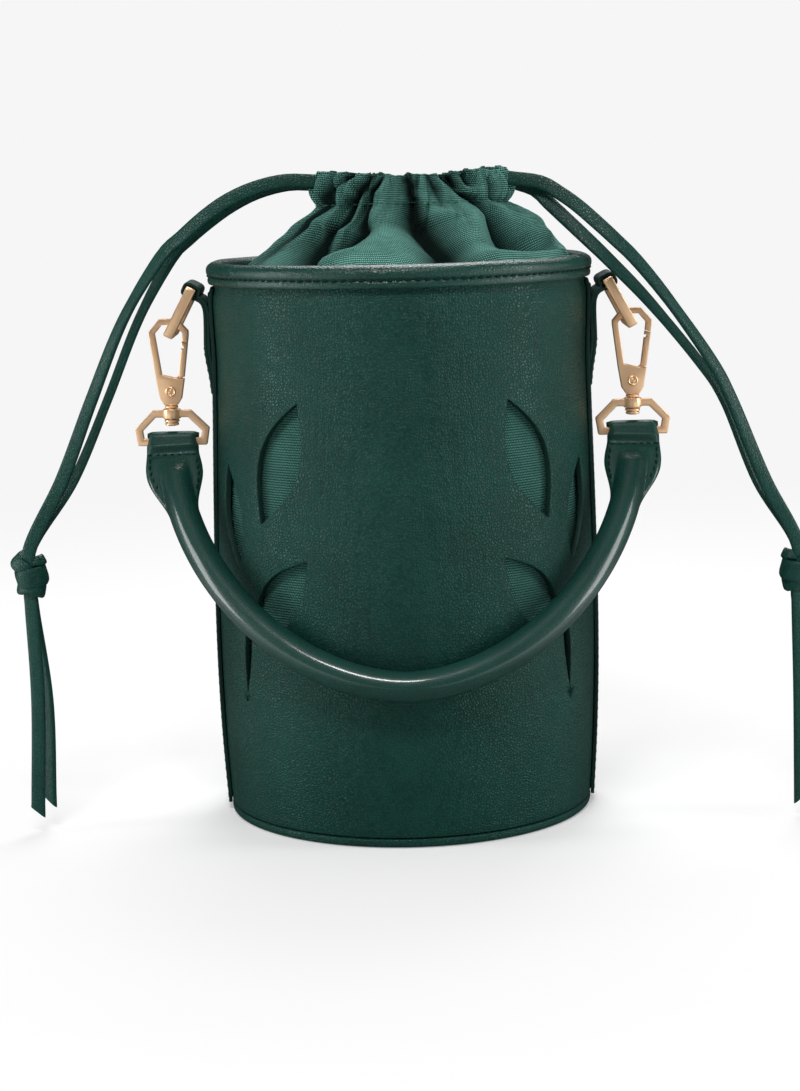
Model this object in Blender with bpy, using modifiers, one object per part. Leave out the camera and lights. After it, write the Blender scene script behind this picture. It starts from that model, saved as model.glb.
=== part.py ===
# Small leather bucket bag with a drawstring canvas top, side snap hooks and a clip-on rolled handle.
# Metres, +Z up. The origin is the middle of the base, on the floor. The front faces -Y.
from math import asin, atan2, cos, degrees, hypot, pi, radians, sin

import bmesh
import bpy
from mathutils import Euler, Matrix, Vector

# Clearances
GAP = 0.0003
REST_GAP = 0.0004

# Leather body
BAG_HEIGHT = 0.200
BODY_RADIUS = 0.0661
BODY_BULGE = 0.0023
BULGE_SKEW = 0.65
BULGE_POWER = 1.5
PANEL_THICKNESS = 0.0022
SEAM_GAP = 0.0008
RIM_HEIGHT = 0.009
RIM_OUTER_LAYER = 0.0026
RIM_INNER_LAYER = 0.0020
RIM_CROWN = 0.0030
STRIP_WIDTH = 0.022
STRIP_THICKNESS = 0.0012
STRIP_FOOT = 0.0020
STRIP_CORNER = 0.005
WELT_HEIGHT = 0.0032
WELT_WIDTH = 0.0046
WELT_ROUND = 0.0012
BASE_THICKNESS = 0.0024
BOARD_THICKNESS = 0.0020

# Leaf cut-outs on each half of a panel: distance along the wall from the panel's middle, height of the
# leaf's middle, length, width, and degrees that its tip leans towards the panel's middle
LEAVES = (
    (0.0461, 0.132, 0.046, 0.018, 22),
    (0.0473, 0.084, 0.040, 0.016, 40),
    (0.0727, 0.112, 0.038, 0.013, -14),
    (0.0634, 0.067, 0.036, 0.0040, 6),
)
LEAF_STEPS = 8

# Canvas lining and drawstring top
LINING_THICKNESS = 0.0012
LINING_CLEARANCE = 0.0006
LINING_HEM = 0.008
TOP_FOOT_DROP = 0.0105
TOP_HEM = 0.002
NECK_HALF_WIDTH = 0.0326
NECK_HALF_DEPTH = 0.024
NECK_OFFSET = 0.0052
NECK_RISE = 0.0185
FRILL_RISE = 0.032
FRILL_FLARE = 0.0010
SHOULDER_POWER = 1.12

# Folded ring tab on each side, and the flat ring that hangs in it
RING_TAB_WIDTH = 0.020
RING_TAB_LAYER = 0.0011
STRAP_LAYER = 0.0015
RING_TAB_FOOT_DROP = 0.047
RING_TAB_BEND_DROP = 0.0165
RING_TAB_REACH = 0.0060
RING_TAB_LOOP_DROP = 0.0103
RING_BAR = 0.0026
RING_THICKNESS = 0.0036
RING_LENGTH = 0.0168
RING_SIDE_PLAY = 0.0005
RING_CORNER = 0.0010
RING_EDGE = 0.0005
RING_TILT = radians(28)

# Swivel snap hook: a chamfered loop above a shield-shaped body
HOOK_OFFSET = 0.0012
HOOK_LENGTH = 0.0310
HOOK_THICKNESS = 0.0040
HOOK_EDGE = 0.0005
HOOK_ARM = 0.0021
HOOK_CROWN_WIDTH = 0.0066
HOOK_LOOP_WIDTH = 0.0142
HOOK_CHAMFER_DROP = 0.0044
HOOK_SPREAD_DROP = 0.0059
HOOK_NOSE_DROP = 0.0081
HOOK_BODY_HEIGHT = 0.0094
HOOK_BODY_TOP_WIDTH = 0.0102
HOOK_BODY_WAIST_WIDTH = 0.0078
HOOK_BODY_WAIST = 0.0023
HOOK_BODY_FOOT_WIDTH = 0.0048
HOOK_CROTCH = 0.0015
PIVOT_RISE = 0.0049
SLOT_FLOOR = 0.0012
SLOT_WIDTH = 0.0020
TONGUE_THICKNESS = 0.0014
TONGUE_EYE_RADIUS = 0.0022
RIVET_RADIUS = 0.0011
RIVET_HEAD_RADIUS = 0.0019
RIVET_HEAD_HEIGHT = 0.0008
POST_RADIUS = 0.0012
POST_FLANGE_RADIUS = 0.0024
POST_FLANGE_HEIGHT = 0.0008
POST_HEAD_RADIUS = 0.0027
POST_HEAD_HEIGHT = 0.0024

# Six-sided D-ring with a boss for the swivel post
DRING_BAR = 0.0026
DRING_THICKNESS = 0.0030
DRING_EDGE = 0.0004
DRING_TOP_HALF = 0.0069
DRING_MIDDLE_HALF = 0.0135
DRING_FOOT_HALF = 0.0125
DRING_MIDDLE_DROP = 0.0053
DRING_DROP = 0.0102
BOSS_RADIUS = 0.0033
BOSS_HEIGHT = 0.0036

# Rolled handle
HANDLE_RADIUS = 0.0054
HANDLE_DROP = 0.1068
HANDLE_POWER = 1.84
SLEEVE_LAYER = 0.0016
SLEEVE_START = 0.0125
CORE_INSET = 0.004
CORE_PLAY = 0.0007
HANDLE_TAB_WIDTH = 0.0188
HANDLE_TAB_FLARE = 0.0008
HANDLE_TAB_LENGTH = 0.031
HANDLE_TAB_SHOULDER = 0.015
HANDLE_TAB_LIP = 0.0012
HANDLE_STEPS = 24

# Drawcord thongs
CORD_DIAMETER = 0.0036
CORD_PITCH = 0.013
KNOT_WIDTH = 0.0124
KNOT_DEPTH = 0.0120
KNOT_HEIGHT = 0.0164
CORD_SPREAD = 0.0023
KNOT_STANDOFF = 0.0010

# Facets
TURN_STEPS = 40
PANEL_STEPS = 22
STRIP_STEPS = 4
PANEL_ROWS = 8
LINING_ROWS = 4
TOP_COLUMNS = 36
TOP_ROWS = 6
ARC_STEPS = 3
LOOP_STEPS = 12
BOSS_STEPS = 16

# Places worked out from the sizes above
RIM_FOOT = BAG_HEIGHT - RIM_HEIGHT
PANEL_TOP = BAG_HEIGHT - RIM_CROWN - GAP
PANEL_FOOT = WELT_HEIGHT + GAP
PANEL_INSIDE = BODY_RADIUS - PANEL_THICKNESS
RIM_OUTSIDE = BODY_RADIUS + GAP + RIM_OUTER_LAYER
RIM_INSIDE = PANEL_INSIDE - GAP - RIM_INNER_LAYER
LINING_RADIUS = RIM_INSIDE - LINING_CLEARANCE
TOP_FOOT = BAG_HEIGHT - TOP_FOOT_DROP
BOARD_FOOT = BASE_THICKNESS + GAP
LINING_FOOT = BOARD_FOOT + BOARD_THICKNESS + GAP
STRAP_HALF = STRAP_LAYER
SIDES = (("left", -1), ("right", 1))


def wall_radius(height):
    share = (height - PANEL_FOOT) / (RIM_FOOT - PANEL_FOOT)
    if share <= 0 or share >= 1:
        return BODY_RADIUS
    return BODY_RADIUS + BODY_BULGE * sin(pi * share ** BULGE_SKEW) ** BULGE_POWER


RING_TAB_FOOT = BAG_HEIGHT - RING_TAB_FOOT_DROP
RING_TAB_BEND = BAG_HEIGHT - RING_TAB_BEND_DROP
STRIP_FACE = wall_radius(RING_TAB_FOOT) + GAP + STRIP_THICKNESS
RING_LOOP_X = STRIP_FACE + RING_TAB_REACH
RING_LOOP_Z = BAG_HEIGHT - RING_TAB_LOOP_DROP
RING_BAR_REACH = hypot(RING_BAR, RING_THICKNESS) / 2
HOOK_X = RING_LOOP_X + RING_LENGTH * sin(RING_TILT) + HOOK_OFFSET
RING_FOOT_Z = RING_LOOP_Z - RING_LENGTH * cos(RING_TILT)
HOOK_TOP = RING_FOOT_Z + RING_BAR_REACH + REST_GAP + HOOK_ARM
HOOK_NOSE = HOOK_TOP - HOOK_NOSE_DROP
HOOK_FOOT = HOOK_TOP - HOOK_LENGTH
HOOK_SHOULDER = HOOK_FOOT + HOOK_BODY_HEIGHT
PIVOT_Z = HOOK_FOOT + PIVOT_RISE
BOSS_TOP = HOOK_FOOT - POST_FLANGE_HEIGHT - 2 * GAP
BOSS_FOOT = BOSS_TOP - BOSS_HEIGHT
DRING_TOP_Z = BOSS_TOP - BOSS_HEIGHT / 2
DRING_BAR_REACH = hypot(DRING_BAR, DRING_THICKNESS) / 2
HANDLE_AXIS_Z = DRING_TOP_Z - DRING_DROP
HANDLE_TILT = asin((BODY_RADIUS + BODY_BULGE + REST_GAP + HANDLE_RADIUS) / HANDLE_DROP)
NECK_Z = BAG_HEIGHT + NECK_RISE
FRILL_Z = BAG_HEIGHT + FRILL_RISE

# Drawcord routes from the neck to just above each knot, the knots, and where the tails end
KNOTS = {"left": (-0.1326, -0.029, 0.0916), "right": (0.1382, -0.029, 0.0874)}
STRANDS = {
    "left_front_strand": (
        (-0.0292, -0.0030, 0.2272), (-0.0396, -0.003, 0.2276), (-0.0503, -0.004, 0.2254),
        (-0.0599, -0.005, 0.2214), (-0.0682, -0.006, 0.2160), (-0.0765, -0.008, 0.2091),
        (-0.0843, -0.011, 0.2018), (-0.0977, -0.016, 0.1806), (-0.1095, -0.021, 0.1530),
        (-0.1203, -0.027, 0.1256),
    ),
    "left_back_strand": (
        (-0.0292, 0.0030, 0.2262), (-0.0388, 0.003, 0.2264), (-0.0496, 0.002, 0.2239),
        (-0.0590, 0.001, 0.2195), (-0.0670, 0.000, 0.2141), (-0.0749, -0.002, 0.2076),
        (-0.0810, -0.005, 0.2011), (-0.0928, -0.011, 0.1801), (-0.1043, -0.017, 0.1525),
        (-0.1167, -0.023, 0.1250),
    ),
    "right_front_strand": (
        (0.0396, -0.0035, 0.2268), (0.0508, -0.005, 0.2250), (0.0576, -0.008, 0.2210),
        (0.0637, -0.012, 0.2164), (0.0709, -0.017, 0.2097), (0.0762, -0.020, 0.2045),
        (0.0831, -0.022, 0.1974), (0.0941, -0.024, 0.1834), (0.1085, -0.026, 0.1622),
        (0.1156, -0.027, 0.1481), (0.1269, -0.029, 0.1198),
    ),
    "right_back_strand": (
        (0.0396, 0.0015, 0.2258), (0.0489, -0.001, 0.2225), (0.0536, -0.004, 0.2179),
        (0.0596, -0.009, 0.2119), (0.0670, -0.014, 0.2045), (0.0739, -0.017, 0.1975),
        (0.0873, -0.019, 0.1832), (0.1045, -0.021, 0.1619), (0.1135, -0.022, 0.1476),
        (0.1248, -0.024, 0.1192),
    ),
}
TAILS = {
    "left_front_tail": ((-0.1315, -0.034, 0.0482), (-0.1332, -0.035, 0.0076)),
    "left_back_tail": ((-0.1289, -0.028, 0.0468), (-0.1296, -0.028, 0.0093)),
    "right_front_tail": ((0.1385, -0.034, 0.0451), (0.1387, -0.035, 0.0060)),
    "right_back_tail": ((0.1434, -0.028, 0.0436), (0.1438, -0.028, 0.0075)),
}

for old in list(bpy.data.objects):
    bpy.data.objects.remove(old, do_unlink=True)

parts = bpy.data.collections.new("bucket_bag")
cutters = bpy.data.collections.new("cutters")
for collection in (parts, cutters):
    bpy.context.scene.collection.children.link(collection)


def make_material(name, colour, roughness, metallic=0.0):
    material = bpy.data.materials.new(name)
    material.use_nodes = True
    shader = material.node_tree.nodes["Principled BSDF"]
    shader.inputs["Base Color"].default_value = (*colour, 1.0)
    shader.inputs["Roughness"].default_value = roughness
    shader.inputs["Metallic"].default_value = metallic
    return material


leather = make_material("green_leather", (0.012, 0.065, 0.048), 0.45)
canvas = make_material("green_canvas", (0.026, 0.114, 0.080), 0.85)
gold = make_material("pale_gold_metal", (0.73, 0.43, 0.22), 0.22, 1.0)
fibre = make_material("stiff_board", (0.16, 0.12, 0.08), 0.90)
filler = make_material("handle_filler", (0.55, 0.50, 0.42), 0.95)


# Building helpers
def add(name, data, material, parent=None):
    piece = bpy.data.objects.new(name, data)
    parts.objects.link(piece)
    piece.data.materials.append(material)
    piece.parent = parent
    return piece


def as_cutter(piece):
    parts.objects.unlink(piece)
    cutters.objects.link(piece)
    piece.hide_render = True
    piece.display_type = "WIRE"
    return piece


def boolean(piece, other, operation="DIFFERENCE"):
    modifier = piece.modifiers.new(operation.lower(), "BOOLEAN")
    modifier.operation = operation
    modifier.object = as_cutter(other)


def smooth(piece, angle=35):
    piece.data.shade_smooth()
    piece.data.set_sharp_from_angle(angle=radians(angle))
    return piece


def curve_mesh(name, curve):
    guide = bpy.data.objects.new(name, curve)
    parts.objects.link(guide)
    evaluated = guide.evaluated_get(bpy.context.evaluated_depsgraph_get())
    mesh = bpy.data.meshes.new_from_object(evaluated)
    bpy.data.objects.remove(guide)
    body = bmesh.new()
    body.from_mesh(mesh)
    bmesh.ops.remove_doubles(body, verts=body.verts, dist=1e-6)
    bmesh.ops.recalc_face_normals(body, faces=body.faces)
    body.to_mesh(mesh)
    body.free()
    mesh.materials.clear()
    return mesh


def plate(name, outline, thickness, material, holes=(), edge=0.0, parent=None):
    curve = bpy.data.curves.new(name, "CURVE")
    curve.dimensions = "2D"
    curve.fill_mode = "BOTH"
    curve.extrude = thickness / 2 - edge
    curve.bevel_depth = edge
    curve.bevel_resolution = 0
    curve.offset = -edge
    for ring in (outline, *holes):
        spline = curve.splines.new("POLY")
        spline.points.add(len(ring) - 1)
        for point, place in zip(spline.points, ring):
            point.co = (*place, 0.0, 1.0)
        spline.use_cyclic_u = True
    return add(name, curve_mesh(name, curve), material, parent)


def tube_curve(name, points, radius, closed=False, resolution=2):
    curve = bpy.data.curves.new(name, "CURVE")
    curve.dimensions = "3D"
    curve.bevel_depth = radius
    curve.bevel_resolution = resolution
    curve.use_fill_caps = not closed
    spline = curve.splines.new("POLY")
    spline.points.add(len(points) - 1)
    for point, place in zip(spline.points, points):
        point.co = (*place, 1.0)
    spline.use_cyclic_u = closed
    return curve


def tube_mesh(name, points, radius, material, closed=False, resolution=2, parent=None):
    curve = tube_curve(name, points, radius, closed, resolution)
    return add(name, curve_mesh(name, curve), material, parent)


def profile_mesh(name, points, closed):
    mesh = bpy.data.meshes.new(name)
    count = len(points)
    edges = [(i, (i + 1) % count) for i in range(count if closed else count - 1)]
    mesh.from_pydata([(radius, 0.0, height) for radius, height in points], edges, [])
    return mesh


def turned(name, profile, material, closed=True, steps=TURN_STEPS):
    piece = add(name, profile_mesh(name, profile, closed), material)
    screw = piece.modifiers.new("turn", "SCREW")
    screw.steps = steps
    screw.render_steps = steps
    screw.use_merge_vertices = True
    screw.merge_threshold = 1e-6
    return piece


def curved_shell(name, heights, face, thickness, middle, span, steps, material):
    profile = [(face(height), height) for height in heights]
    piece = add(name, profile_mesh(name, profile, False), material)
    screw = piece.modifiers.new("sweep", "SCREW")
    screw.angle = span
    screw.steps = steps
    screw.render_steps = steps
    screw.use_merge_vertices = False
    solid = piece.modifiers.new("thickness", "SOLIDIFY")
    solid.thickness = thickness
    solid.offset = -1.0
    piece.rotation_euler.z = middle - span / 2
    return piece


def disc(name, radius, foot, thickness, material, steps=TURN_STEPS):
    mesh = bpy.data.meshes.new(name)
    body = bmesh.new()
    bmesh.ops.create_cone(body, cap_ends=True, segments=steps, radius1=radius, radius2=radius, depth=thickness)
    body.to_mesh(mesh)
    body.free()
    piece = add(name, mesh, material)
    piece.location.z = foot + thickness / 2
    return piece


def arc(centre, radius, start, end, steps):
    turns = [start + (end - start) * i / steps for i in range(steps + 1)]
    return [(centre[0] + radius * cos(turn), centre[1] + radius * sin(turn)) for turn in turns]


def circle(centre, radius, steps):
    return arc(centre, radius, 0, 2 * pi, steps)[:-1]


def rounded(corners, radius, steps=3):
    path = []
    count = len(corners)
    for i, corner in enumerate(corners):
        corner = Vector(corner)
        before = (Vector(corners[i - 1]) - corner).normalized()
        after = (Vector(corners[(i + 1) % count]) - corner).normalized()
        half = before.angle(after) / 2
        reach = radius * cos(half) / sin(half)
        centre = corner + (before + after).normalized() * (radius / sin(half))
        start = corner + before * reach - centre
        end = corner + after * reach - centre
        for step in range(steps + 1):
            path.append(tuple(centre + start.slerp(end, step / steps).normalized() * radius))
    return path


def inset(corners, distance, closed=False):
    corners = [Vector(corner) for corner in corners]
    count = len(corners)
    line = []
    for i, corner in enumerate(corners):
        before = corner - corners[i - 1] if closed or i else corners[1] - corner
        after = corners[(i + 1) % count] - corner if closed or i + 1 < count else before
        along = (before.normalized() + after.normalized()).normalized()
        spread = distance / along.dot(after.normalized())
        line.append((corner.x + along.y * spread, corner.y - along.x * spread))
    return line


def strap_outline(route, loop_radius, half):
    centre = Vector(route[0])
    legs = [Vector(point) for point in route[1:]]
    heading = (legs[0] - centre).normalized()
    turn = atan2(heading.y, heading.x)
    catch = asin(half / loop_radius)
    outline = arc(centre, loop_radius, turn + catch, turn + 2 * pi - catch, LOOP_STEPS)
    sides = []
    for i, leg in enumerate(legs):
        before = (leg - (legs[i - 1] if i else centre)).normalized()
        after = (legs[i + 1] - leg).normalized() if i + 1 < len(legs) else before
        along = (before + after).normalized()
        sides.append((leg, Vector((-along.y, along.x)) * half))
    outline += [tuple(leg - side) for leg, side in sides[0 if len(legs) > 1 else -1:]]
    outline += [tuple(leg + side) for leg, side in reversed(sides)]
    return outline


def stand(piece):
    piece.rotation_euler.x = pi / 2
    return piece


def smooth_route(points, pitch):
    points = [Vector(point) for point in points]
    ends = [2 * points[0] - points[1], *points, 2 * points[-1] - points[-2]]
    route = []
    for a, b, c, d in zip(ends, ends[1:], ends[2:], ends[3:]):
        steps = max(1, round((c - b).length / pitch))
        for step in range(steps):
            t = step / steps
            bend = 2 * b + (c - a) * t + (2 * a - 5 * b + 4 * c - d) * t ** 2
            route.append((bend + (3 * b - a - 3 * c + d) * t ** 3) / 2)
    return route + [points[-1]]


# Leather body
def panel_heights():
    return [PANEL_TOP, RIM_FOOT] + [
        RIM_FOOT + (PANEL_FOOT - RIM_FOOT) * row / PANEL_ROWS for row in range(1, PANEL_ROWS + 1)
    ]


def leaf_outline(length, width):
    def edge(side, rows):
        return [(side * width / 2 * sin(pi * row / LEAF_STEPS), length * (row / LEAF_STEPS - 0.5)) for row in rows]
    return edge(1, range(LEAF_STEPS)) + edge(-1, range(LEAF_STEPS, 0, -1))


def leaf_cutter(name, middle, side, leaf):
    along, height, length, width, lean = leaf
    cutter = plate(name, leaf_outline(length, width), 8 * PANEL_THICKNESS, leather)
    azimuth = middle + side * along / BODY_RADIUS
    outward = Matrix.Rotation(azimuth, 4, "Z") @ Euler((pi / 2, 0, pi / 2)).to_matrix().to_4x4()
    place = Matrix.Translation((wall_radius(height) * cos(azimuth), wall_radius(height) * sin(azimuth), height))
    cutter.matrix_world = place @ outward @ Matrix.Rotation(side * radians(lean), 4, "Z")
    return cutter


def make_panels():
    span = pi - SEAM_GAP / BODY_RADIUS
    for name, middle in (("front_panel", -pi / 2), ("back_panel", pi / 2)):
        panel = curved_shell(name, panel_heights(), wall_radius, PANEL_THICKNESS, middle, span, PANEL_STEPS,
                             leather)
        for side in (-1, 1):
            for number, leaf in enumerate(LEAVES):
                boolean(panel, leaf_cutter(f"{name}_leaf_{side}_{number}", middle, side, leaf))


def make_side_strips():
    def face(height):
        return wall_radius(height) + GAP + STRIP_THICKNESS
    top = RIM_FOOT - GAP
    heights = [top + (STRIP_FOOT - top) * row / PANEL_ROWS for row in range(PANEL_ROWS + 1)]
    half = STRIP_WIDTH / 2
    bend = half - STRIP_CORNER
    foot = arc((-bend, STRIP_FOOT + STRIP_CORNER), STRIP_CORNER, -pi, -pi / 2, ARC_STEPS)
    foot += arc((bend, STRIP_FOOT + STRIP_CORNER), STRIP_CORNER, -pi / 2, 0, ARC_STEPS)
    for name, side in SIDES:
        span = STRIP_WIDTH / BODY_RADIUS
        strip = curved_shell(f"{name}_side_strip", heights, face, STRIP_THICKNESS, 0 if side > 0 else pi, span,
                             STRIP_STEPS, leather)
        outline = plate(f"{name}_strip_outline", [*foot, (half, BAG_HEIGHT), (-half, BAG_HEIGHT)],
                        2 * BODY_RADIUS, leather)
        outline.rotation_euler = (pi / 2, 0, pi / 2)
        outline.location.x = side * BODY_RADIUS
        boolean(strip, outline, "INTERSECT")


def make_rim():
    half = (RIM_OUTSIDE - RIM_INSIDE) / 2
    middle = (RIM_OUTSIDE + RIM_INSIDE) / 2
    crown_foot = BAG_HEIGHT - RIM_CROWN
    crown = [(middle + half * cos(turn), crown_foot + RIM_CROWN * sin(turn))
             for turn in (pi - pi * step / (2 * ARC_STEPS) for step in range(2 * ARC_STEPS + 1))]
    slot = [
        (BODY_RADIUS + GAP, RIM_FOOT),
        (BODY_RADIUS + GAP, crown_foot),
        (PANEL_INSIDE - GAP, crown_foot),
        (PANEL_INSIDE - GAP, RIM_FOOT),
    ]
    lips = [(RIM_OUTSIDE, RIM_FOOT + RIM_OUTER_LAYER / 3), (RIM_OUTSIDE - RIM_OUTER_LAYER / 3, RIM_FOOT)]
    smooth(turned("rim_band", [*crown, *lips, *slot, (RIM_INSIDE, RIM_FOOT)], leather))


def make_base():
    inside = BODY_RADIUS - WELT_WIDTH
    bead = arc((BODY_RADIUS - WELT_ROUND, WELT_HEIGHT - WELT_ROUND), WELT_ROUND, pi / 2, 0, 2)
    bead += arc((BODY_RADIUS - WELT_ROUND, WELT_ROUND), WELT_ROUND, 0, -pi / 2, 2)
    smooth(turned("base_welt", [(inside, WELT_HEIGHT), *bead, (inside, 0.0)], leather))
    disc("base_panel", inside - GAP, 0.0, BASE_THICKNESS, leather)
    disc("base_board", inside - GAP, BOARD_FOOT, BOARD_THICKNESS, fibre)


# Canvas lining and drawstring top
def make_lining():
    foot = LINING_FOOT + LINING_THICKNESS + GAP
    top = TOP_FOOT - GAP
    hem = top - LINING_HEM
    heights = [hem + (foot + LINING_HEM - hem) * row / LINING_ROWS for row in range(LINING_ROWS + 1)]
    stand_off = PANEL_THICKNESS + LINING_CLEARANCE
    outside = [(LINING_RADIUS, top), *((wall_radius(z) - stand_off, z) for z in heights), (LINING_RADIUS, foot)]
    inside = [(radius - LINING_THICKNESS, height) for radius, height in reversed(outside)]
    smooth(turned("lining_wall", outside + inside, canvas))
    disc("lining_bottom", LINING_RADIUS, LINING_FOOT, LINING_THICKNESS, canvas)


def top_ring(share):
    width = LINING_RADIUS + (NECK_HALF_WIDTH - LINING_RADIUS) * share ** SHOULDER_POWER
    depth = LINING_RADIUS + (NECK_HALF_DEPTH - LINING_RADIUS) * share ** SHOULDER_POWER
    return width, depth, NECK_OFFSET * share, TOP_FOOT + TOP_HEM + (NECK_Z - TOP_FOOT - TOP_HEM) * share


def make_drawstring_top():
    rings = [(LINING_RADIUS, LINING_RADIUS, 0.0, TOP_FOOT)]
    rings += [top_ring(row / TOP_ROWS) for row in range(TOP_ROWS + 1)]
    flare = (NECK_HALF_WIDTH + FRILL_FLARE, NECK_HALF_DEPTH + FRILL_FLARE, NECK_OFFSET)
    rings += [(*flare, (NECK_Z + FRILL_Z) / 2), (*flare, FRILL_Z)]
    mesh = bpy.data.meshes.new("drawstring_top")
    body = bmesh.new()
    loops = []
    for width, depth, offset, height in rings:
        turns = [2 * pi * column / TOP_COLUMNS for column in range(TOP_COLUMNS)]
        loops.append([body.verts.new((offset + width * cos(t), depth * sin(t), height)) for t in turns])
    for lower, upper in zip(loops, loops[1:]):
        for i in range(TOP_COLUMNS):
            k = (i + 1) % TOP_COLUMNS
            body.faces.new((lower[i], lower[k], upper[k], upper[i]))
    body.to_mesh(mesh)
    body.free()
    top = add("drawstring_top", mesh, canvas)
    solid = top.modifiers.new("cloth", "SOLIDIFY")
    solid.thickness = LINING_THICKNESS
    solid.offset = -1.0
    smooth(top)


# Side hardware
def make_ring_tab(name, side):
    hole = RING_BAR_REACH + GAP
    middle = STRIP_FACE + GAP + RING_TAB_LAYER
    route = [(RING_LOOP_X, RING_LOOP_Z), (middle, RING_TAB_BEND), (middle, RING_TAB_FOOT)]
    outline = [(side * x, z) for x, z in strap_outline(route, hole + RING_TAB_LAYER, RING_TAB_LAYER)]
    bore = circle((side * RING_LOOP_X, RING_LOOP_Z), hole, LOOP_STEPS)
    tab = stand(plate(f"{name}_ring_tab", outline, RING_TAB_WIDTH, leather, [bore]))
    reach = RIM_OUTSIDE
    heights = [PANEL_TOP, RIM_FOOT, RING_TAB_BEND, RING_TAB_FOOT, RING_TAB_FOOT - RIM_HEIGHT]
    hug = [(wall_radius(z) + STRIP_THICKNESS + 2 * GAP, z) for z in heights]
    boolean(tab, turned(f"{name}_tab_seat", [*hug, (reach / 2, heights[-1]), (reach / 2, heights[0])], leather))


def make_ring(name, side):
    half_width = RING_TAB_WIDTH / 2 + RING_SIDE_PLAY
    half_bar = RING_BAR / 2
    inner = [(-half_width, half_bar - RING_LENGTH), (half_width, half_bar - RING_LENGTH),
             (half_width, -half_bar), (-half_width, -half_bar)]
    grow = half_width + RING_BAR
    outer = [(-grow, -half_bar - RING_LENGTH), (grow, -half_bar - RING_LENGTH), (grow, half_bar), (-grow, half_bar)]
    ring = plate(f"{name}_ring", rounded(outer, RING_CORNER), RING_THICKNESS, gold, [inner], RING_EDGE)
    lean = Matrix.Rotation(-side * RING_TILT, 4, "Y") @ Euler((pi / 2, 0, pi / 2)).to_matrix().to_4x4()
    ring.matrix_world = Matrix.Translation((side * RING_LOOP_X, 0, RING_LOOP_Z)) @ lean


def hook_loop():
    crown = HOOK_CROWN_WIDTH / 2
    wide = HOOK_LOOP_WIDTH / 2
    foot = HOOK_BODY_TOP_WIDTH / 2
    spread = HOOK_TOP - HOOK_SPREAD_DROP
    right = [(crown, HOOK_TOP), (wide, HOOK_TOP - HOOK_CHAMFER_DROP), (wide, spread), (foot, HOOK_SHOULDER)]
    outer = [(-x, z) for x, z in reversed(right)] + right
    return outer, inset(outer, HOOK_ARM)


def gate_edge(line, radius):
    (x, z), (foot, shoulder) = line[-2:]
    slope = (foot - x) / (shoulder - z)
    start = x - slope * (z - PIVOT_Z)
    lean = 1 + slope ** 2
    rise = ((lean * radius ** 2 - start ** 2) ** 0.5 - slope * start) / lean
    return start + slope * rise, PIVOT_Z + rise


def nose_radius(inner):
    (x, z), (foot, shoulder) = inner[-2:]
    return hypot(x + (foot - x) * (HOOK_NOSE - z) / (shoulder - z), HOOK_NOSE - PIVOT_Z)


def make_hook_frame(name, side):
    outer, inner = hook_loop()
    reach = nose_radius(inner)
    waist = HOOK_FOOT + HOOK_BODY_WAIST
    half_waist = HOOK_BODY_WAIST_WIDTH / 2
    half_foot = HOOK_BODY_FOOT_WIDTH / 2
    root = inner[-1][0]
    crotch = HOOK_SHOULDER + HOOK_CROTCH
    outline = [
        (half_foot, HOOK_FOOT), (half_waist, waist), outer[-1], (root, HOOK_SHOULDER),
        (-root, crotch), *inner[1:-1], gate_edge(inner, reach),
        gate_edge(outer, reach), *reversed(outer[:-1]),
        (-half_waist, waist), (-half_foot, HOOK_FOOT),
    ]
    frame = stand(plate(f"{name}_hook_frame", outline, HOOK_THICKNESS, gold, edge=HOOK_EDGE))
    frame.location.x = side * HOOK_X
    left = -TONGUE_EYE_RADIUS - GAP
    right = HOOK_LOOP_WIDTH / 2
    slot = [(left, HOOK_FOOT + SLOT_FLOOR), (right, HOOK_FOOT + SLOT_FLOOR), (right, crotch + HOOK_ARM),
            (left, crotch + HOOK_ARM)]
    pocket = stand(plate(f"{name}_slot", slot, SLOT_WIDTH, gold))
    rivet_hole = stand(plate(f"{name}_rivet_hole", circle((0, PIVOT_Z), RIVET_RADIUS + GAP, LOOP_STEPS),
                             2 * HOOK_THICKNESS, gold))
    post_hole = plate(f"{name}_post_hole", circle((0, 0), POST_RADIUS + GAP, LOOP_STEPS), HOOK_BODY_HEIGHT / 2, gold)
    post_hole.location.z = HOOK_FOOT
    for cutter in (pocket, rivet_hole, post_hole):
        cutter.location.x = side * HOOK_X
        boolean(frame, cutter)


def make_gate(name, side):
    outer, inner = hook_loop()
    reach = nose_radius(inner) - GAP
    half = HOOK_BODY_TOP_WIDTH / 2
    root = inner[-1][0]
    heel = HOOK_SHOULDER + GAP
    lap = heel + HOOK_ARM / 2
    arm = [(half, heel), gate_edge(outer, reach), gate_edge(inner, reach), (root, heel)]
    gate = stand(plate(f"{name}_gate", lowered(arm), HOOK_THICKNESS, gold, edge=HOOK_EDGE))
    gate.location = (side * HOOK_X, 0, PIVOT_Z)
    eye = arc((0, PIVOT_Z), TONGUE_EYE_RADIUS, pi * 0.7, pi * 1.75, LOOP_STEPS)
    shank = [(half - HOOK_EDGE, heel), (half - HOOK_EDGE, lap), (root + HOOK_EDGE, lap)]
    tongue = stand(plate(f"{name}_tongue", lowered(eye + shank), TONGUE_THICKNESS, gold))
    bore = stand(plate(f"{name}_gate_bore", circle((0, 0), RIVET_RADIUS + GAP, LOOP_STEPS), HOOK_THICKNESS, gold))
    tongue.location = gate.location
    bore.location = gate.location
    boolean(gate, tongue, "UNION")
    boolean(gate, bore)


def lowered(points):
    return [(x, z - PIVOT_Z) for x, z in points]


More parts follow.
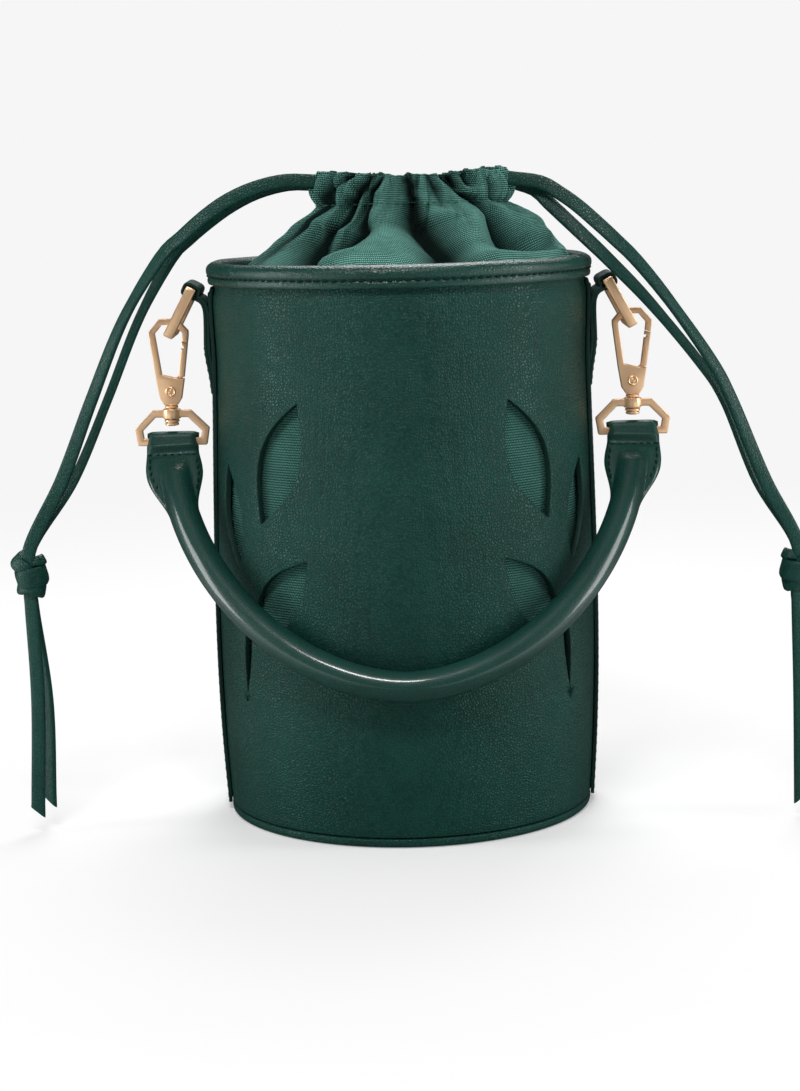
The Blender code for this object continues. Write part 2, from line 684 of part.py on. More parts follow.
def make_rivet(name, side):
    face = HOOK_THICKNESS / 2 + GAP
    dome = [(RIVET_HEAD_RADIUS * cos(turn), face + RIVET_HEAD_HEIGHT * sin(turn))
            for turn in (pi / 2 - pi / 2 * step / 3 for step in range(4))]
    dome[0] = (0.0, dome[0][1])
    upper = [*dome, (RIVET_RADIUS, face)]
    lower = [(radius, -height) for radius, height in reversed(upper)]
    rivet = turned(f"{name}_gate_rivet", upper + lower, gold, closed=False, steps=LOOP_STEPS)
    rivet.rotation_euler.x = pi / 2
    rivet.location = (side * HOOK_X, 0, PIVOT_Z)
    smooth(rivet)


def make_swivel_post(name, side):
    spigot = HOOK_FOOT + SLOT_FLOOR - GAP
    flange = HOOK_FOOT - GAP
    head = BOSS_FOOT - GAP
    profile = [
        (0.0, spigot), (POST_RADIUS, spigot),
        (POST_RADIUS, flange), (POST_FLANGE_RADIUS, flange),
        (POST_FLANGE_RADIUS, flange - POST_FLANGE_HEIGHT), (POST_RADIUS, flange - POST_FLANGE_HEIGHT),
        (POST_RADIUS, head), (POST_HEAD_RADIUS, head),
        (POST_HEAD_RADIUS, head - POST_HEAD_HEIGHT / 2), (POST_RADIUS, head - POST_HEAD_HEIGHT),
        (0.0, head - POST_HEAD_HEIGHT),
    ]
    post = turned(f"{name}_swivel_post", profile, gold, closed=False, steps=LOOP_STEPS)
    post.location.x = side * HOOK_X
    smooth(post)


def make_dring(name, side):
    half_bar = DRING_BAR / 2
    middle = DRING_TOP_Z - DRING_MIDDLE_DROP
    right = [(DRING_TOP_HALF, DRING_TOP_Z + half_bar), (DRING_MIDDLE_HALF, middle),
             (DRING_FOOT_HALF, HANDLE_AXIS_Z - half_bar)]
    outer = right + [(-x, z) for x, z in reversed(right)]
    ring = stand(plate(f"{name}_d_ring", outer, DRING_THICKNESS, gold, [inset(outer, DRING_BAR, True)], DRING_EDGE))
    boss = disc(f"{name}_boss", BOSS_RADIUS, BOSS_FOOT, BOSS_HEIGHT, gold, BOSS_STEPS)
    bore = disc(f"{name}_boss_bore", POST_RADIUS + GAP, BOSS_FOOT - BOSS_HEIGHT, 3 * BOSS_HEIGHT, gold, BOSS_STEPS)
    for piece in (ring, boss, bore):
        piece.location.x = side * HOOK_X
    boolean(ring, boss, "UNION")
    boolean(ring, bore)


# Rolled handle, modelled hanging straight down from its pivot and then tilted to lie on the front
def handle_point(turn):
    across = cos(turn)
    width = HOOK_X * abs(across) ** (2 / HANDLE_POWER)
    return Vector((width if across > 0 else -width, 0.0, -HANDLE_DROP * sin(turn) ** (2 / HANDLE_POWER)))


def handle_turn(drop):
    return asin((drop / HANDLE_DROP) ** (HANDLE_POWER / 2))


def handle_path(drop):
    start = handle_turn(drop)
    turns = [start + (pi - 2 * start) * step / HANDLE_STEPS for step in range(HANDLE_STEPS + 1)]
    return [handle_point(turn) for turn in turns]


def make_handle():
    pivot = bpy.data.objects.new("handle_pivot", None)
    parts.objects.link(pivot)
    pivot.location.z = HANDLE_AXIS_Z
    pivot.rotation_euler.x = -HANDLE_TILT
    bore_radius = HANDLE_RADIUS - SLEEVE_LAYER
    sleeve = tube_mesh("handle_sleeve", handle_path(SLEEVE_START), HANDLE_RADIUS, leather, parent=pivot)
    bore = tube_mesh("handle_bore", handle_path(SLEEVE_START - CORE_INSET), bore_radius, leather, parent=pivot)
    boolean(sleeve, bore)
    smooth(sleeve)
    core = handle_path(SLEEVE_START + CORE_INSET)
    smooth(tube_mesh("handle_core", core, bore_radius - CORE_PLAY, filler, resolution=1, parent=pivot))
    for name, side in SIDES:
        make_handle_tab(name, side, pivot)


def make_handle_tab(name, side, pivot):
    hole = DRING_BAR_REACH + GAP
    outline = strap_outline([(0, 0), (0, -HANDLE_TAB_LENGTH)], hole + STRAP_LAYER, STRAP_HALF)
    tab = plate(f"{name}_handle_tab", outline, HANDLE_TAB_WIDTH, leather, [circle((0, 0), hole, LOOP_STEPS)],
                parent=pivot)
    tab.rotation_euler = (pi / 2, 0, pi / 2)
    tab.location.x = side * HOOK_X
    half = HANDLE_TAB_WIDTH / 2
    lip = HANDLE_RADIUS + HANDLE_TAB_LIP
    drift = HOOK_X - handle_point(handle_turn(HANDLE_TAB_LENGTH)).x
    rise = hole + 2 * STRAP_LAYER
    foot = HANDLE_TAB_LENGTH + STRAP_LAYER
    wide = half + HANDLE_TAB_FLARE
    shape = [(half, rise), (half, -rise), (wide, -HANDLE_TAB_SHOULDER), (lip - drift, -foot),
             (-lip - drift, -foot), (-wide, -HANDLE_TAB_SHOULDER), (-half, -rise), (-half, rise)]
    taper = stand(plate(f"{name}_tab_taper", [(side * x, z) for x, z in shape], 4 * HANDLE_RADIUS, leather,
                        parent=pivot))
    taper.location.x = side * HOOK_X
    boolean(tab, taper, "INTERSECT")
    channel = tube_mesh(f"{name}_tab_channel", handle_path(SLEEVE_START - GAP), HANDLE_RADIUS + GAP, leather,
                        parent=pivot)
    boolean(tab, channel)


# Drawcord thongs, their knots and tails
def make_drawcords():
    for name, side in SIDES:
        knot = Vector(KNOTS[name])
        reach = KNOT_HEIGHT / 2 + KNOT_STANDOFF
        mesh = bpy.data.meshes.new(f"{name}_knot")
        body = bmesh.new()
        bmesh.ops.create_uvsphere(body, u_segments=12, v_segments=8, radius=0.5)
        bmesh.ops.scale(body, vec=(KNOT_WIDTH, KNOT_DEPTH, KNOT_HEIGHT), verts=body.verts)
        body.to_mesh(mesh)
        body.free()
        smooth(add(f"{name}_knot", mesh, leather)).location = knot
        for layer, shift in (("front", -CORD_SPREAD), ("back", CORD_SPREAD)):
            over = knot + Vector((0, shift, reach))
            under = knot + Vector((0, shift, -reach))
            strand = f"{name}_{layer}_strand"
            tail = f"{name}_{layer}_tail"
            add_cord(strand, [*STRANDS[strand], over])
            add_cord(tail, [under, *TAILS[tail]])


def add_cord(name, points):
    route = smooth_route(points, CORD_PITCH)
    add(name, tube_curve(name, route, CORD_DIAMETER / 2), leather)
    length = sum((b - a).length for a, b in zip(route, route[1:]))
    print(f"{name}: {length * 1000:.0f} mm")


make_panels()
make_side_strips()
make_rim()
make_base()
make_lining()
make_drawstring_top()
for side_name, side_sign in SIDES:
    make_ring_tab(side_name, side_sign)
    make_ring(side_name, side_sign)
    make_hook_frame(side_name, side_sign)
    make_gate(side_name, side_sign)
    make_rivet(side_name, side_sign)
    make_swivel_post(side_name, side_sign)
    make_dring(side_name, side_sign)
make_handle()
make_drawcords()
print(f"Handle axis {HANDLE_AXIS_Z:.4f}, hooks at {HOOK_X:.4f}, tilt {degrees(HANDLE_TILT):.2f} degrees")
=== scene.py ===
from math import asin, atan2, cos, exp, hypot, pi, radians, sin, sqrt

import bmesh
import bpy
import numpy as np
from mathutils import Euler, Matrix, Vector, noise
from mathutils.geometry import delaunay_2d_cdt


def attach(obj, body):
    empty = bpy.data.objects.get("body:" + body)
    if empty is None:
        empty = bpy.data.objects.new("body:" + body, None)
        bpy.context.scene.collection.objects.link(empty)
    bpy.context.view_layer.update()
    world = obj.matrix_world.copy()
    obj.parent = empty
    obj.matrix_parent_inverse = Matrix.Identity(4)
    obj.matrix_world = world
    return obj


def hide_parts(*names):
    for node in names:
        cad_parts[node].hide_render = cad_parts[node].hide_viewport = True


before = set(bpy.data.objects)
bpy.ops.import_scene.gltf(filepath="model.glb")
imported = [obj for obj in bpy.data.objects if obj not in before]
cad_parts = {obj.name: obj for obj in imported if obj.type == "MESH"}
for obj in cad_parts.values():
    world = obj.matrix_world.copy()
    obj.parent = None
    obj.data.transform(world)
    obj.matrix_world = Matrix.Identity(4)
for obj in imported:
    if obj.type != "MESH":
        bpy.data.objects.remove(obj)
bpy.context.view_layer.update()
sides = (("left", -1), ("right", 1))
print("frame loaded:", len(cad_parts), "nodes")


def added(name, data):
    holder = bpy.data.objects.new(name, data)
    bpy.context.scene.collection.objects.link(holder)
    return holder


# Camera
photo = dict(place=(0.0, -0.8743, 0.2352), pitch=0.159, yaw=0.0023, roll=-0.0249, lens=80.053, sensor=36.0,
             clip=0.01)
eye = added("photoCamera", bpy.data.cameras.new("photoCamera"))
eye.data.lens = photo["lens"]
eye.data.sensor_width = photo["sensor"]
eye.data.clip_start = photo["clip"]
aim = Matrix.Rotation(photo["yaw"], 4, "Z") @ Matrix.Rotation(pi / 2 - photo["pitch"], 4, "X")
eye.matrix_world = Matrix.Translation(photo["place"]) @ aim @ Matrix.Rotation(photo["roll"], 4, "Z")
bpy.context.scene.camera = eye
bpy.context.scene.view_settings.view_transform = "Standard"
print("camera set")


# Shader maths: a wire is one output socket, and sums of wires add Math nodes
def bothWays(operation):
    def forward(wire, other):
        return wire.maths(operation, wire, other)

    def reflected(wire, other):
        return wire.maths(operation, other, wire)

    return forward, reflected


class Wire:
    __add__, __radd__ = bothWays("ADD")
    __sub__, __rsub__ = bothWays("SUBTRACT")
    __mul__, __rmul__ = bothWays("MULTIPLY")
    __truediv__, __rtruediv__ = bothWays("DIVIDE")
    __pow__, __rpow__ = bothWays("POWER")

    def __init__(self, paint, socket):
        self.paint = paint
        self.socket = socket

    def maths(self, operation, *values):
        return self.paint.node("ShaderNodeMath", dict(operation=operation), dict(enumerate(values)))[0]

    def wave(self):
        return self.maths("SINE", self)

    def size(self):
        return self.maths("ABSOLUTE", self)

    def whole(self):
        return self.maths("FLOOR", self)

    def limited(self):  # kept between 0 and 1
        return self.maths("MAXIMUM", self.maths("MINIMUM", self, 1.0), 0.0)


class Paint:
    def __init__(self, owner):
        owner.use_nodes = True
        self.owner = owner
        self.tree = owner.node_tree

    def plug(self, node, sockets):
        for key, value in sockets.items():
            if isinstance(value, Wire):
                self.tree.links.new(value.socket, node.inputs[key])
            else:
                node.inputs[key].default_value = value

    def node(self, kind, settings=None, sockets=None):
        made = self.tree.nodes.new(kind)
        for key, value in (settings or {}).items():
            setattr(made, key, value)
        self.plug(made, sockets or {})
        return [Wire(self, socket) for socket in made.outputs]

    def place(self):
        return self.node("ShaderNodeTexCoord")[3]

    def parts(self, vector):
        return self.node("ShaderNodeSeparateXYZ", None, {0: vector})

    def flat(self):  # metres across and along the sheet
        return self.parts(self.node("ShaderNodeTexCoord")[2])[:2]

    def speckle(self, where, size, detail=3.0, rough=0.5):
        return self.node("ShaderNodeTexNoise", None,
                         dict(Vector=where, Scale=1 / size, Detail=detail, Roughness=rough))[0]

    def mix(self, share, first, second):
        return self.node("ShaderNodeMix", dict(data_type="RGBA"), {0: share, 6: first, 7: second})[2]

    def bump(self, height, look):
        return self.node("ShaderNodeBump", None,
                         dict(Height=height, Strength=look["bump"], Distance=look["depth"]))[0]

    def finish(self, sockets, shader="Principled BSDF"):
        self.plug(self.tree.nodes[shader], sockets)
        return self.owner


# Leather: pebbles with pores between them, cloudy in tone
leatherLook = dict(
    deep=(0.0018, 0.0240, 0.0180, 1), body=(0.0070, 0.0670, 0.0515, 1), pebble=0.00108, pore=0.00036,
    cloud=0.030, cloudDetail=4.0, uneven=0.85, bump=0.80, depth=0.00022, shine=0.27, gloss=0.20,
    cellGain=4.2, poreGain=0.36, cellFloor=0.18, pebbleTone=0.54, cloudTone=0.70, toneFloor=0.23,
    pebbleRise=0.8, poreRise=0.25, cloudRise=0.4, gapDull=0.14, poreDull=0.08)
rimLook = dict(leatherLook, bump=0.40, shine=0.22, gloss=0.45)
edgeLook = dict(
    leatherLook, deep=(0.0030, 0.0190, 0.0150, 1), body=(0.0065, 0.0400, 0.0310, 1), pebble=0.0006,
    pore=0.00025, cloud=0.020, bump=0.35, depth=0.00012, shine=0.44, gloss=0.25)
# A wrinkle is its length, its width and its share of the relief. A polish is the height where it starts to
# end, the height where it has ended, its weight and its roughness.
rolledLook = dict(
    leatherLook, deep=(0.0030, 0.0300, 0.0230, 1), body=(0.0072, 0.0620, 0.0480, 1), pebble=0.00095,
    pore=0.00028, cloud=0.020, bump=0.28, depth=0.00016, shine=0.32, gloss=0.30,
    wrinkle=(0.0050, 0.00080, 0.9), polish=(0.120, 0.128, 0.75, 0.15))
thongLook = dict(
    leatherLook, deep=(0.0030, 0.0300, 0.0230, 1), body=(0.0088, 0.0680, 0.0520, 1), pebble=0.0010,
    pore=0.00028, cloud=0.018, bump=0.50, depth=0.00018, gloss=0.26, wrinkle=(0.0040, 0.0012, 0.4))


def leatherPaint(name, look):
    paint = Paint(bpy.data.materials.new(name))
    where = paint.place()
    cells = paint.node("ShaderNodeTexVoronoi", dict(feature="DISTANCE_TO_EDGE"),
                       dict(Vector=where, Scale=1 / look["pebble"], Randomness=look["uneven"]))[0]
    pore = paint.speckle(where, look["pore"])
    pebble = (cells * look["cellGain"] + pore * look["poreGain"] - look["cellFloor"]).limited()
    cloud = paint.speckle(where, look["cloud"], look["cloudDetail"])
    tone = (pebble * look["pebbleTone"] + cloud * look["cloudTone"] - look["toneFloor"]).limited()
    relief = pebble * look["pebbleRise"] + pore * look["poreRise"] + cloud * look["cloudRise"]
    if "wrinkle" in look:
        across, along = paint.flat()
        wide, short, share = look["wrinkle"]
        drawn = paint.node("ShaderNodeCombineXYZ", None, {0: across / wide, 1: along / short})[0]
        relief = relief + paint.speckle(drawn, 1.0) * share
    finish = {
        "Base Color": paint.mix(tone, look["deep"], look["body"]),
        "Roughness": look["shine"] + (1 - pebble) * look["gapDull"] + pore * look["poreDull"],
        "Specular IOR Level": look["gloss"],
        "Normal": paint.bump(relief, look),
    }
    if "polish" in look:  # a clear coat that ends below the tabs
        low, high, weight, rough = look["polish"]
        height = paint.parts(where)[2]
        finish["Coat Weight"] = ((high - height) / (high - low)).limited() * weight
        finish["Coat Roughness"] = rough
    return paint.finish(finish)


# Ribbed canvas, with painted shade mixed into its colour along the folds' valleys
# The darkest colour here is painted shade, mixed in where the folds of the top are deep
canvasLook = dict(
    gap=(0.0050, 0.0280, 0.0215, 1), rib=(0.2450, 0.6350, 0.5350, 1), paintedShadeColour=(0.0012, 0.0090, 0.0070, 1),
    pitch=0.00088, thread=0.00072, cloud=0.010, cloudDetail=4.0, fuzz=0.00035, fuzzDetail=2.0, bump=1.0,
    depth=0.00045, crown=0.6, lap=0.28, weaveTone=1.30, cloudTone=0.4, fuzzTone=0.6, toneFloor=0.84,
    fuzzRise=0.3, rough=0.93, ribSmooth=0.12, gloss=0.05, sheen=0.02, sheenRough=0.5)
# The lining is the same canvas with much darker ribs: painted shade for the inside of the bag
shadedLiningLook = dict(canvasLook, gap=(0.0060, 0.0300, 0.0230, 1), rib=(0.0800, 0.2400, 0.2000, 1))


def canvasPaint(name, look):
    paint = Paint(bpy.data.materials.new(name))
    across, along = paint.flat()
    row = along / look["pitch"]
    rib = (row * pi).wave().size() ** look["crown"]
    turn = (across / look["thread"] + row.whole() * 0.5) * (2 * pi)
    weave = rib * (turn.wave() * look["lap"] + (1 - look["lap"]))
    where = paint.place()
    cloud = paint.speckle(where, look["cloud"], look["cloudDetail"])
    fuzz = paint.speckle(where, look["fuzz"], look["fuzzDetail"])
    tone = weave * look["weaveTone"] + cloud * look["cloudTone"] + fuzz * look["fuzzTone"] - look["toneFloor"]
    # painted shade: a per-point share, set where the folds are deep, that mixes the colour towards the shade
    # colour
    paintedFoldShade = paint.node("ShaderNodeAttribute", dict(attribute_name="paintedFoldShade"))[2]
    return paint.finish({
        "Base Color": paint.mix(paintedFoldShade, paint.mix(tone.limited(), look["gap"], look["rib"]), look["paintedShadeColour"]),
        "Roughness": look["rough"] - weave * look["ribSmooth"],
        "Specular IOR Level": look["gloss"],
        "Sheen Weight": look["sheen"],
        "Sheen Roughness": look["sheenRough"],
        "Normal": paint.bump(weave + fuzz * look["fuzzRise"], look),
    })


# Brushed gold, paler where it is handled
goldLook = dict(
    body=(0.93, 0.58, 0.33, 1), pale=(0.98, 0.68, 0.42, 1), grain=0.00012, length=0.004, brushDetail=2.0,
    wear=0.006, wearDetail=4.0, metal=0.64, shine=0.25, brushDull=0.10, wearDull=0.06, bump=0.10,
    depth=0.00004)


def goldPaint(name, look):
    paint = Paint(bpy.data.materials.new(name))
    where = paint.place()
    strokes = (1 / look["grain"], 1 / look["grain"], 1 / look["length"])
    stretched = paint.node("ShaderNodeVectorMath", dict(operation="MULTIPLY"), {0: where, 1: strokes})[0]
    brush = paint.speckle(stretched, 1.0, look["brushDetail"])
    handled = paint.speckle(where, look["wear"], look["wearDetail"])
    return paint.finish({
        "Base Color": paint.mix(handled, look["body"], look["pale"]),
        "Metallic": look["metal"],
        "Roughness": look["shine"] + brush * look["brushDull"] + handled * look["wearDull"],
        "Normal": paint.bump(brush, look),
    })


# Twisted sewing thread
threadLook = dict(
    deep=(0.0020, 0.0110, 0.0085, 1), body=(0.0065, 0.0300, 0.0240, 1), twist=0.00035, rough=0.72,
    plySmooth=0.12, gloss=0.1, bump=0.5, depth=0.00010)
canvasThreadLook = dict(threadLook, deep=(0.0200, 0.0700, 0.0570, 1), body=(0.0500, 0.1500, 0.1250, 1))


def threadPaint(name, look):
    paint = Paint(bpy.data.materials.new(name))
    x, y, z = paint.parts(paint.place())
    ply = ((x + y + z) * (2 * pi / look["twist"])).wave() * 0.5 + 0.5
    return paint.finish({
        "Base Color": paint.mix(ply, look["deep"], look["body"]),
        "Roughness": look["rough"] - ply * look["plySmooth"],
        "Specular IOR Level": look["gloss"],
        "Normal": paint.bump(ply, look),
    })


# Pressed fibres, out of sight inside the base and the handle
boardLook = dict(
    deep=(0.10, 0.075, 0.050, 1), body=(0.20, 0.155, 0.105, 1), fleck=0.002, fleckDetail=5.0, fleckRough=0.65,
    rough=0.80, fleckDull=0.15, bump=0.4, depth=0.0002)
fillerLook = dict(boardLook, deep=(0.42, 0.38, 0.31, 1), body=(0.60, 0.56, 0.48, 1), fleck=0.0012)


def fibrePaint(name, look):
    paint = Paint(bpy.data.materials.new(name))
    flecks = paint.speckle(paint.place(), look["fleck"], look["fleckDetail"], look["fleckRough"])
    return paint.finish({
        "Base Color": paint.mix(flecks, look["deep"], look["body"]),
        "Roughness": look["rough"] + flecks * look["fleckDull"],
        "Normal": paint.bump(flecks, look),
    })


leather = leatherPaint("pebbleLeather", leatherLook)
cutEdge = leatherPaint("paintedLeatherEdge", edgeLook)
thongLeather = leatherPaint("thongLeather", thongLook)
rimLeather = leatherPaint("rimLeather", rimLook)
rolled = leatherPaint("rolledLeather", rolledLook)
canvas = canvasPaint("ribbedCanvas", canvasLook)
shadedLiningCanvas = canvasPaint("shadedLiningCanvas", shadedLiningLook)
gold = goldPaint("paleGold", goldLook)
thread = threadPaint("greenThread", threadLook)
canvasThread = threadPaint("canvasThread", canvasThreadLook)
board = fibrePaint("pressedBoard", boardLook)
filler = fibrePaint("handleFiller", fillerLook)
for nodeName, paint in (("base_board", board), ("handle_core", filler)):
    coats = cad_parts[nodeName].data.materials
    coats.clear()
    coats.append(paint)
print("finishes made")


# Mesh helpers
softAngle = 38  # degrees; what turns more is a sharp edge
weld = 1e-7  # points nearer than this become one


def linked(name, mesh, *paints):
    piece = added(name, mesh)
    for paint in paints:
        piece.data.materials.append(paint)
    return piece


def tidyMesh(mesh, sharp=softAngle, outward=True):
    work = bmesh.new()
    work.from_mesh(mesh)
    bmesh.ops.remove_doubles(work, verts=work.verts, dist=weld)
    if outward:
        bmesh.ops.recalc_face_normals(work, faces=work.faces)
    work.to_mesh(mesh)
    work.free()
    mesh.shade_smooth()
    mesh.set_sharp_from_angle(angle=radians(sharp))
    return mesh


def meshOf(name, points, faces, flat=None, sharp=softAngle, outward=True):
    mesh = bpy.data.meshes.new(name)
    mesh.from_pydata([tuple(point) for point in points], [], faces)
    if flat is not None:
        layer = mesh.uv_layers.new(name="metres")
        for loop, place in zip(layer.data, flat):
            loop.uv = place
    return tidyMesh(mesh, sharp, outward)


def facedOut(mesh):
    first = mesh.polygons[0]
    if first.normal.dot(Vector((first.center.x, first.center.y, 0))) < 0:
        mesh.flip_normals()
    return mesh


def gridFaces(count, width, across=True, along=False, caps=False, start=0):
    faces = []
    for r in range(count if along else count - 1):
        low, high = start + r * width, start + (r + 1) % count * width
        for c in range(width if across else width - 1):
            beside = (c + 1) % width
            faces.append((low + c, low + beside, high + beside, high + c))
    if caps:
        last = start + (count - 1) * width
        faces += [tuple(range(start + width - 1, start - 1, -1)), tuple(range(last, last + width))]
    return faces


def gridLengths(rows, axis):
    steps = np.linalg.norm(np.roll(rows, -1, axis) - rows, axis=2)
    return np.concatenate([[0], np.cumsum(steps.mean(1 - axis))])


def gridMesh(name, rows, across=False, along=False, caps=False, us=None, sharp=softAngle, outward=True):
    rows = np.asarray(rows, float)
    count, width = rows.shape[:2]
    vs = gridLengths(rows, 0)
    if us is None:
        us = gridLengths(rows, 1)
    flat = []
    for r in range(count if along else count - 1):
        for c in range(width if across else width - 1):
            flat += [(us[c], vs[r]), (us[c + 1], vs[r]), (us[c + 1], vs[r + 1]), (us[c], vs[r + 1])]
    if caps:
        flat += [(us[c], 0.0) for c in (*reversed(range(width)), *range(width))]
    faces = gridFaces(count, width, across, along, caps)
    return meshOf(name, rows.reshape(-1, 3), faces, flat, sharp, outward)


def circle(count, start=0.0):
    turns = [2 * pi * (i + start) / count for i in range(count)]
    return [(cos(turn), sin(turn)) for turn in turns]


def turnedMesh(name, profile, steps, closed=True, sharp=softAngle, sway=None):
    rows = []
    for radius, height in profile:
        row = []
        for c, s in circle(steps):
            out, rise = sway(c, s, radius, height) if sway else (0.0, 0.0)
            row.append(((radius + out) * c, (radius + out) * s, height + rise))
        rows.append(row)
    return gridMesh(name, rows, across=True, along=closed, sharp=sharp)


def pinMesh(name, radius, half, steps, closed=True, axis=0.00002):  # the axis has a hair's width
    return turnedMesh(name, [(axis, -half), (radius, -half), (radius, half), (axis, half)], steps, closed)


def solidify(piece, thickness, offset=-1.0, rim=0):
    skin = piece.modifiers.new("thickness", "SOLIDIFY")
    skin.thickness = thickness
    skin.offset = offset
    skin.use_even_offset = False
    skin.material_offset_rim = rim


def soften(piece, width, segments=2, angle=55):
    edges = piece.modifiers.new("softEdges", "BEVEL")
    edges.width = width
    edges.segments = segments
    edges.limit_method = "ANGLE"
    edges.angle_limit = radians(angle)
    edges.harden_normals = False


def bakedMesh(piece):
    bpy.context.view_layer.update()
    return bpy.data.meshes.new_from_object(piece.evaluated_get(bpy.context.evaluated_depsgraph_get()))


def dress(piece, body, slotName, *nodes):
    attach(piece, body)
    if nodes:
        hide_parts(*nodes)
    return piece


def carve(piece, tool, operation="DIFFERENCE"):
    change = piece.modifiers.new(operation.lower(), "BOOLEAN")
    change.operation = operation
    change.object = tool
    mesh = bakedMesh(piece)
    piece.modifiers.clear()
    piece.data = mesh
    bpy.data.objects.remove(tool)


def ease(value, low, high):
    share = min(1.0, max(0.0, (value - low) / (high - low)))
    return share * share * (3 - 2 * share)


def flutter(x, y, scale, level):
    return noise.noise(Vector((x * scale, y * scale, level)))


def smoothRoute(points, pitch):
    points = [Vector(point) for point in points]
    ends = [2 * points[0] - points[1], *points, 2 * points[-1] - points[-2]]
    route = []
    for a, b, c, d in zip(ends, ends[1:], ends[2:], ends[3:]):
        steps = max(1, round((c - b).length / pitch))
        for step in range(steps):
            t = step / steps
            bend = 2 * b + (c - a) * t + (2 * a - 5 * b + 4 * c - d) * t ** 2
            route.append((bend + (3 * b - a - 3 * c + d) * t ** 3) / 2)
    return route + [points[-1]]


def routeLengths(route):
    return np.concatenate([[0.0], np.cumsum([(b - a).length for a, b in zip(route, route[1:])])])


# Stitches: each ring is its place along the stitch, its girth and its rise
stitch = dict(length=0.0024, width=0.00042, around=6, sharp=60)
stitchRings = ((-0.5, 0.35, -0.9), (-0.36, 0.9, -0.25), (-0.12, 1.0, 0.0), (0.12, 1.0, 0.0),
               (0.36, 0.9, -0.25), (0.5, 0.35, -0.9))


def stitches(name, seams, body, length=stitch["length"], width=stitch["width"], sink=0.0, paint=thread):
    ring = circle(stitch["around"])
    points, faces = [], []
    for centre, along, out in seams:
        along = Vector(along).normalized()
        out = Vector(out).normalized()
        across = along.cross(out)
        faces += gridFaces(len(stitchRings), len(ring), caps=True, start=len(points))
        for share, girth, lift in stitchRings:
            middle = Vector(centre) + along * (share * length) + out * ((lift - sink) * width)
            points += [middle + (across * c + out * s) * (girth * width) for c, s in ring]
    return dress(linked(name, meshOf(name, points, faces, sharp=stitch["sharp"]), paint), body, "leather")


def ringSeam(count, radius, height, slope=0.0, below=False):
    seam = []
    for c, s in circle(count):
        out = Vector((c, s, 0))
        spot = out * radius + Vector((0, 0, height))
        seam.append((spot, (-s, c, slope), (0, 0, -1) if below else out))
    return seam


# Drawcord thongs and the knot on each pair
drawcord = dict(width=0.0050, thickness=0.0020, pitch=0.003, spread=0.0023, reach=0.0092, slant=0.75,
                around=16, widthPower=0.5, thickPower=0.6, sharp=50)
knotPlaces = {"left": (-0.1326, -0.029, 0.0916), "right": (0.1382, -0.029, 0.0874)}
strands = {
    "left_front": ((-0.0292, -0.0030, 0.2272), (-0.0396, -0.003, 0.2276), (-0.0503, -0.004, 0.2254),
                   (-0.0599, -0.005, 0.2214), (-0.0682, -0.006, 0.2160), (-0.0765, -0.008, 0.2091),
                   (-0.0843, -0.011, 0.2018), (-0.0977, -0.016, 0.1806), (-0.1095, -0.021, 0.1530),
                   (-0.1203, -0.027, 0.1256)),
    "left_back": ((-0.0292, 0.0030, 0.2262), (-0.0388, 0.003, 0.2264), (-0.0496, 0.002, 0.2239),
                  (-0.0590, 0.001, 0.2195), (-0.0670, 0.000, 0.2141), (-0.0749, -0.002, 0.2076),
                  (-0.0810, -0.005, 0.2011), (-0.0928, -0.011, 0.1801), (-0.1043, -0.017, 0.1525),
                  (-0.1167, -0.023, 0.1250)),
    "right_front": ((0.0396, -0.0035, 0.2268), (0.0508, -0.005, 0.2250), (0.0576, -0.008, 0.2210),
                    (0.0637, -0.012, 0.2164), (0.0709, -0.017, 0.2097), (0.0762, -0.020, 0.2045),
                    (0.0831, -0.022, 0.1974), (0.0941, -0.024, 0.1834), (0.1085, -0.026, 0.1622),
                    (0.1156, -0.027, 0.1481), (0.1269, -0.029, 0.1198)),
    "right_back": ((0.0396, 0.0015, 0.2258), (0.0489, -0.001, 0.2225), (0.0536, -0.004, 0.2179),
                   (0.0596, -0.009, 0.2119), (0.0670, -0.014, 0.2045), (0.0739, -0.017, 0.1975),
                   (0.0873, -0.019, 0.1832), (0.1045, -0.021, 0.1619), (0.1135, -0.022, 0.1476),
                   (0.1248, -0.024, 0.1192)),
}
tails = {
    "left_front": ((-0.1315, -0.034, 0.0482), (-0.1332, -0.035, 0.0076)),
    "left_back": ((-0.1289, -0.028, 0.0468), (-0.1296, -0.028, 0.0093)),
    "right_front": ((0.1385, -0.034, 0.0451), (0.1387, -0.035, 0.0060)),
    "right_back": ((0.1434, -0.028, 0.0436), (0.1438, -0.028, 0.0075)),
}
# How far each thong is turned from facing the front: share of its length and degrees
thongTurns = {
    "left_front": ((0, 5), (0.12, 8), (0.30, 52), (0.45, 30), (0.60, 8), (0.68, 14), (1, 8)),
    "left_back": ((0, 5), (0.12, 12), (0.30, 58), (0.45, 60), (0.60, 52), (0.68, 48), (1, 36)),
    "right_front": ((0, -5), (0.12, -10), (0.30, -50), (0.45, -35), (0.60, -12), (0.68, -14), (1, -8)),
    "right_back": ((0, -5), (0.12, -14), (0.30, -56), (0.45, -60), (0.60, -50), (0.68, -48), (1, -36)),
}
knotShape = dict(steps=40, around=12, thickness=0.0022, swell=0.10, wave=0.0004,
                 coreHalf=(0.0040, 0.0039, 0.0078), coreRings=9, coreAround=16, sharp=50)
# Wraps of the doubled thong: middle, half sizes, lean to the side, lean to the front, band width
knotWraps = (
    ((0.0003, 0, 0.0006), (0.0051, 0.0048), -14, 8, 0.0072),
    ((0.0000, 0, -0.0040), (0.0043, 0.0041), 10, -10, 0.0050),
    ((-0.0012, 0.0002, 0.0036), (0.0044, 0.0040), 46, 14, 0.0056),
    ((0.0008, 0.0004, 0.0042), (0.0036, 0.0036), -30, -18, 0.0040),
)


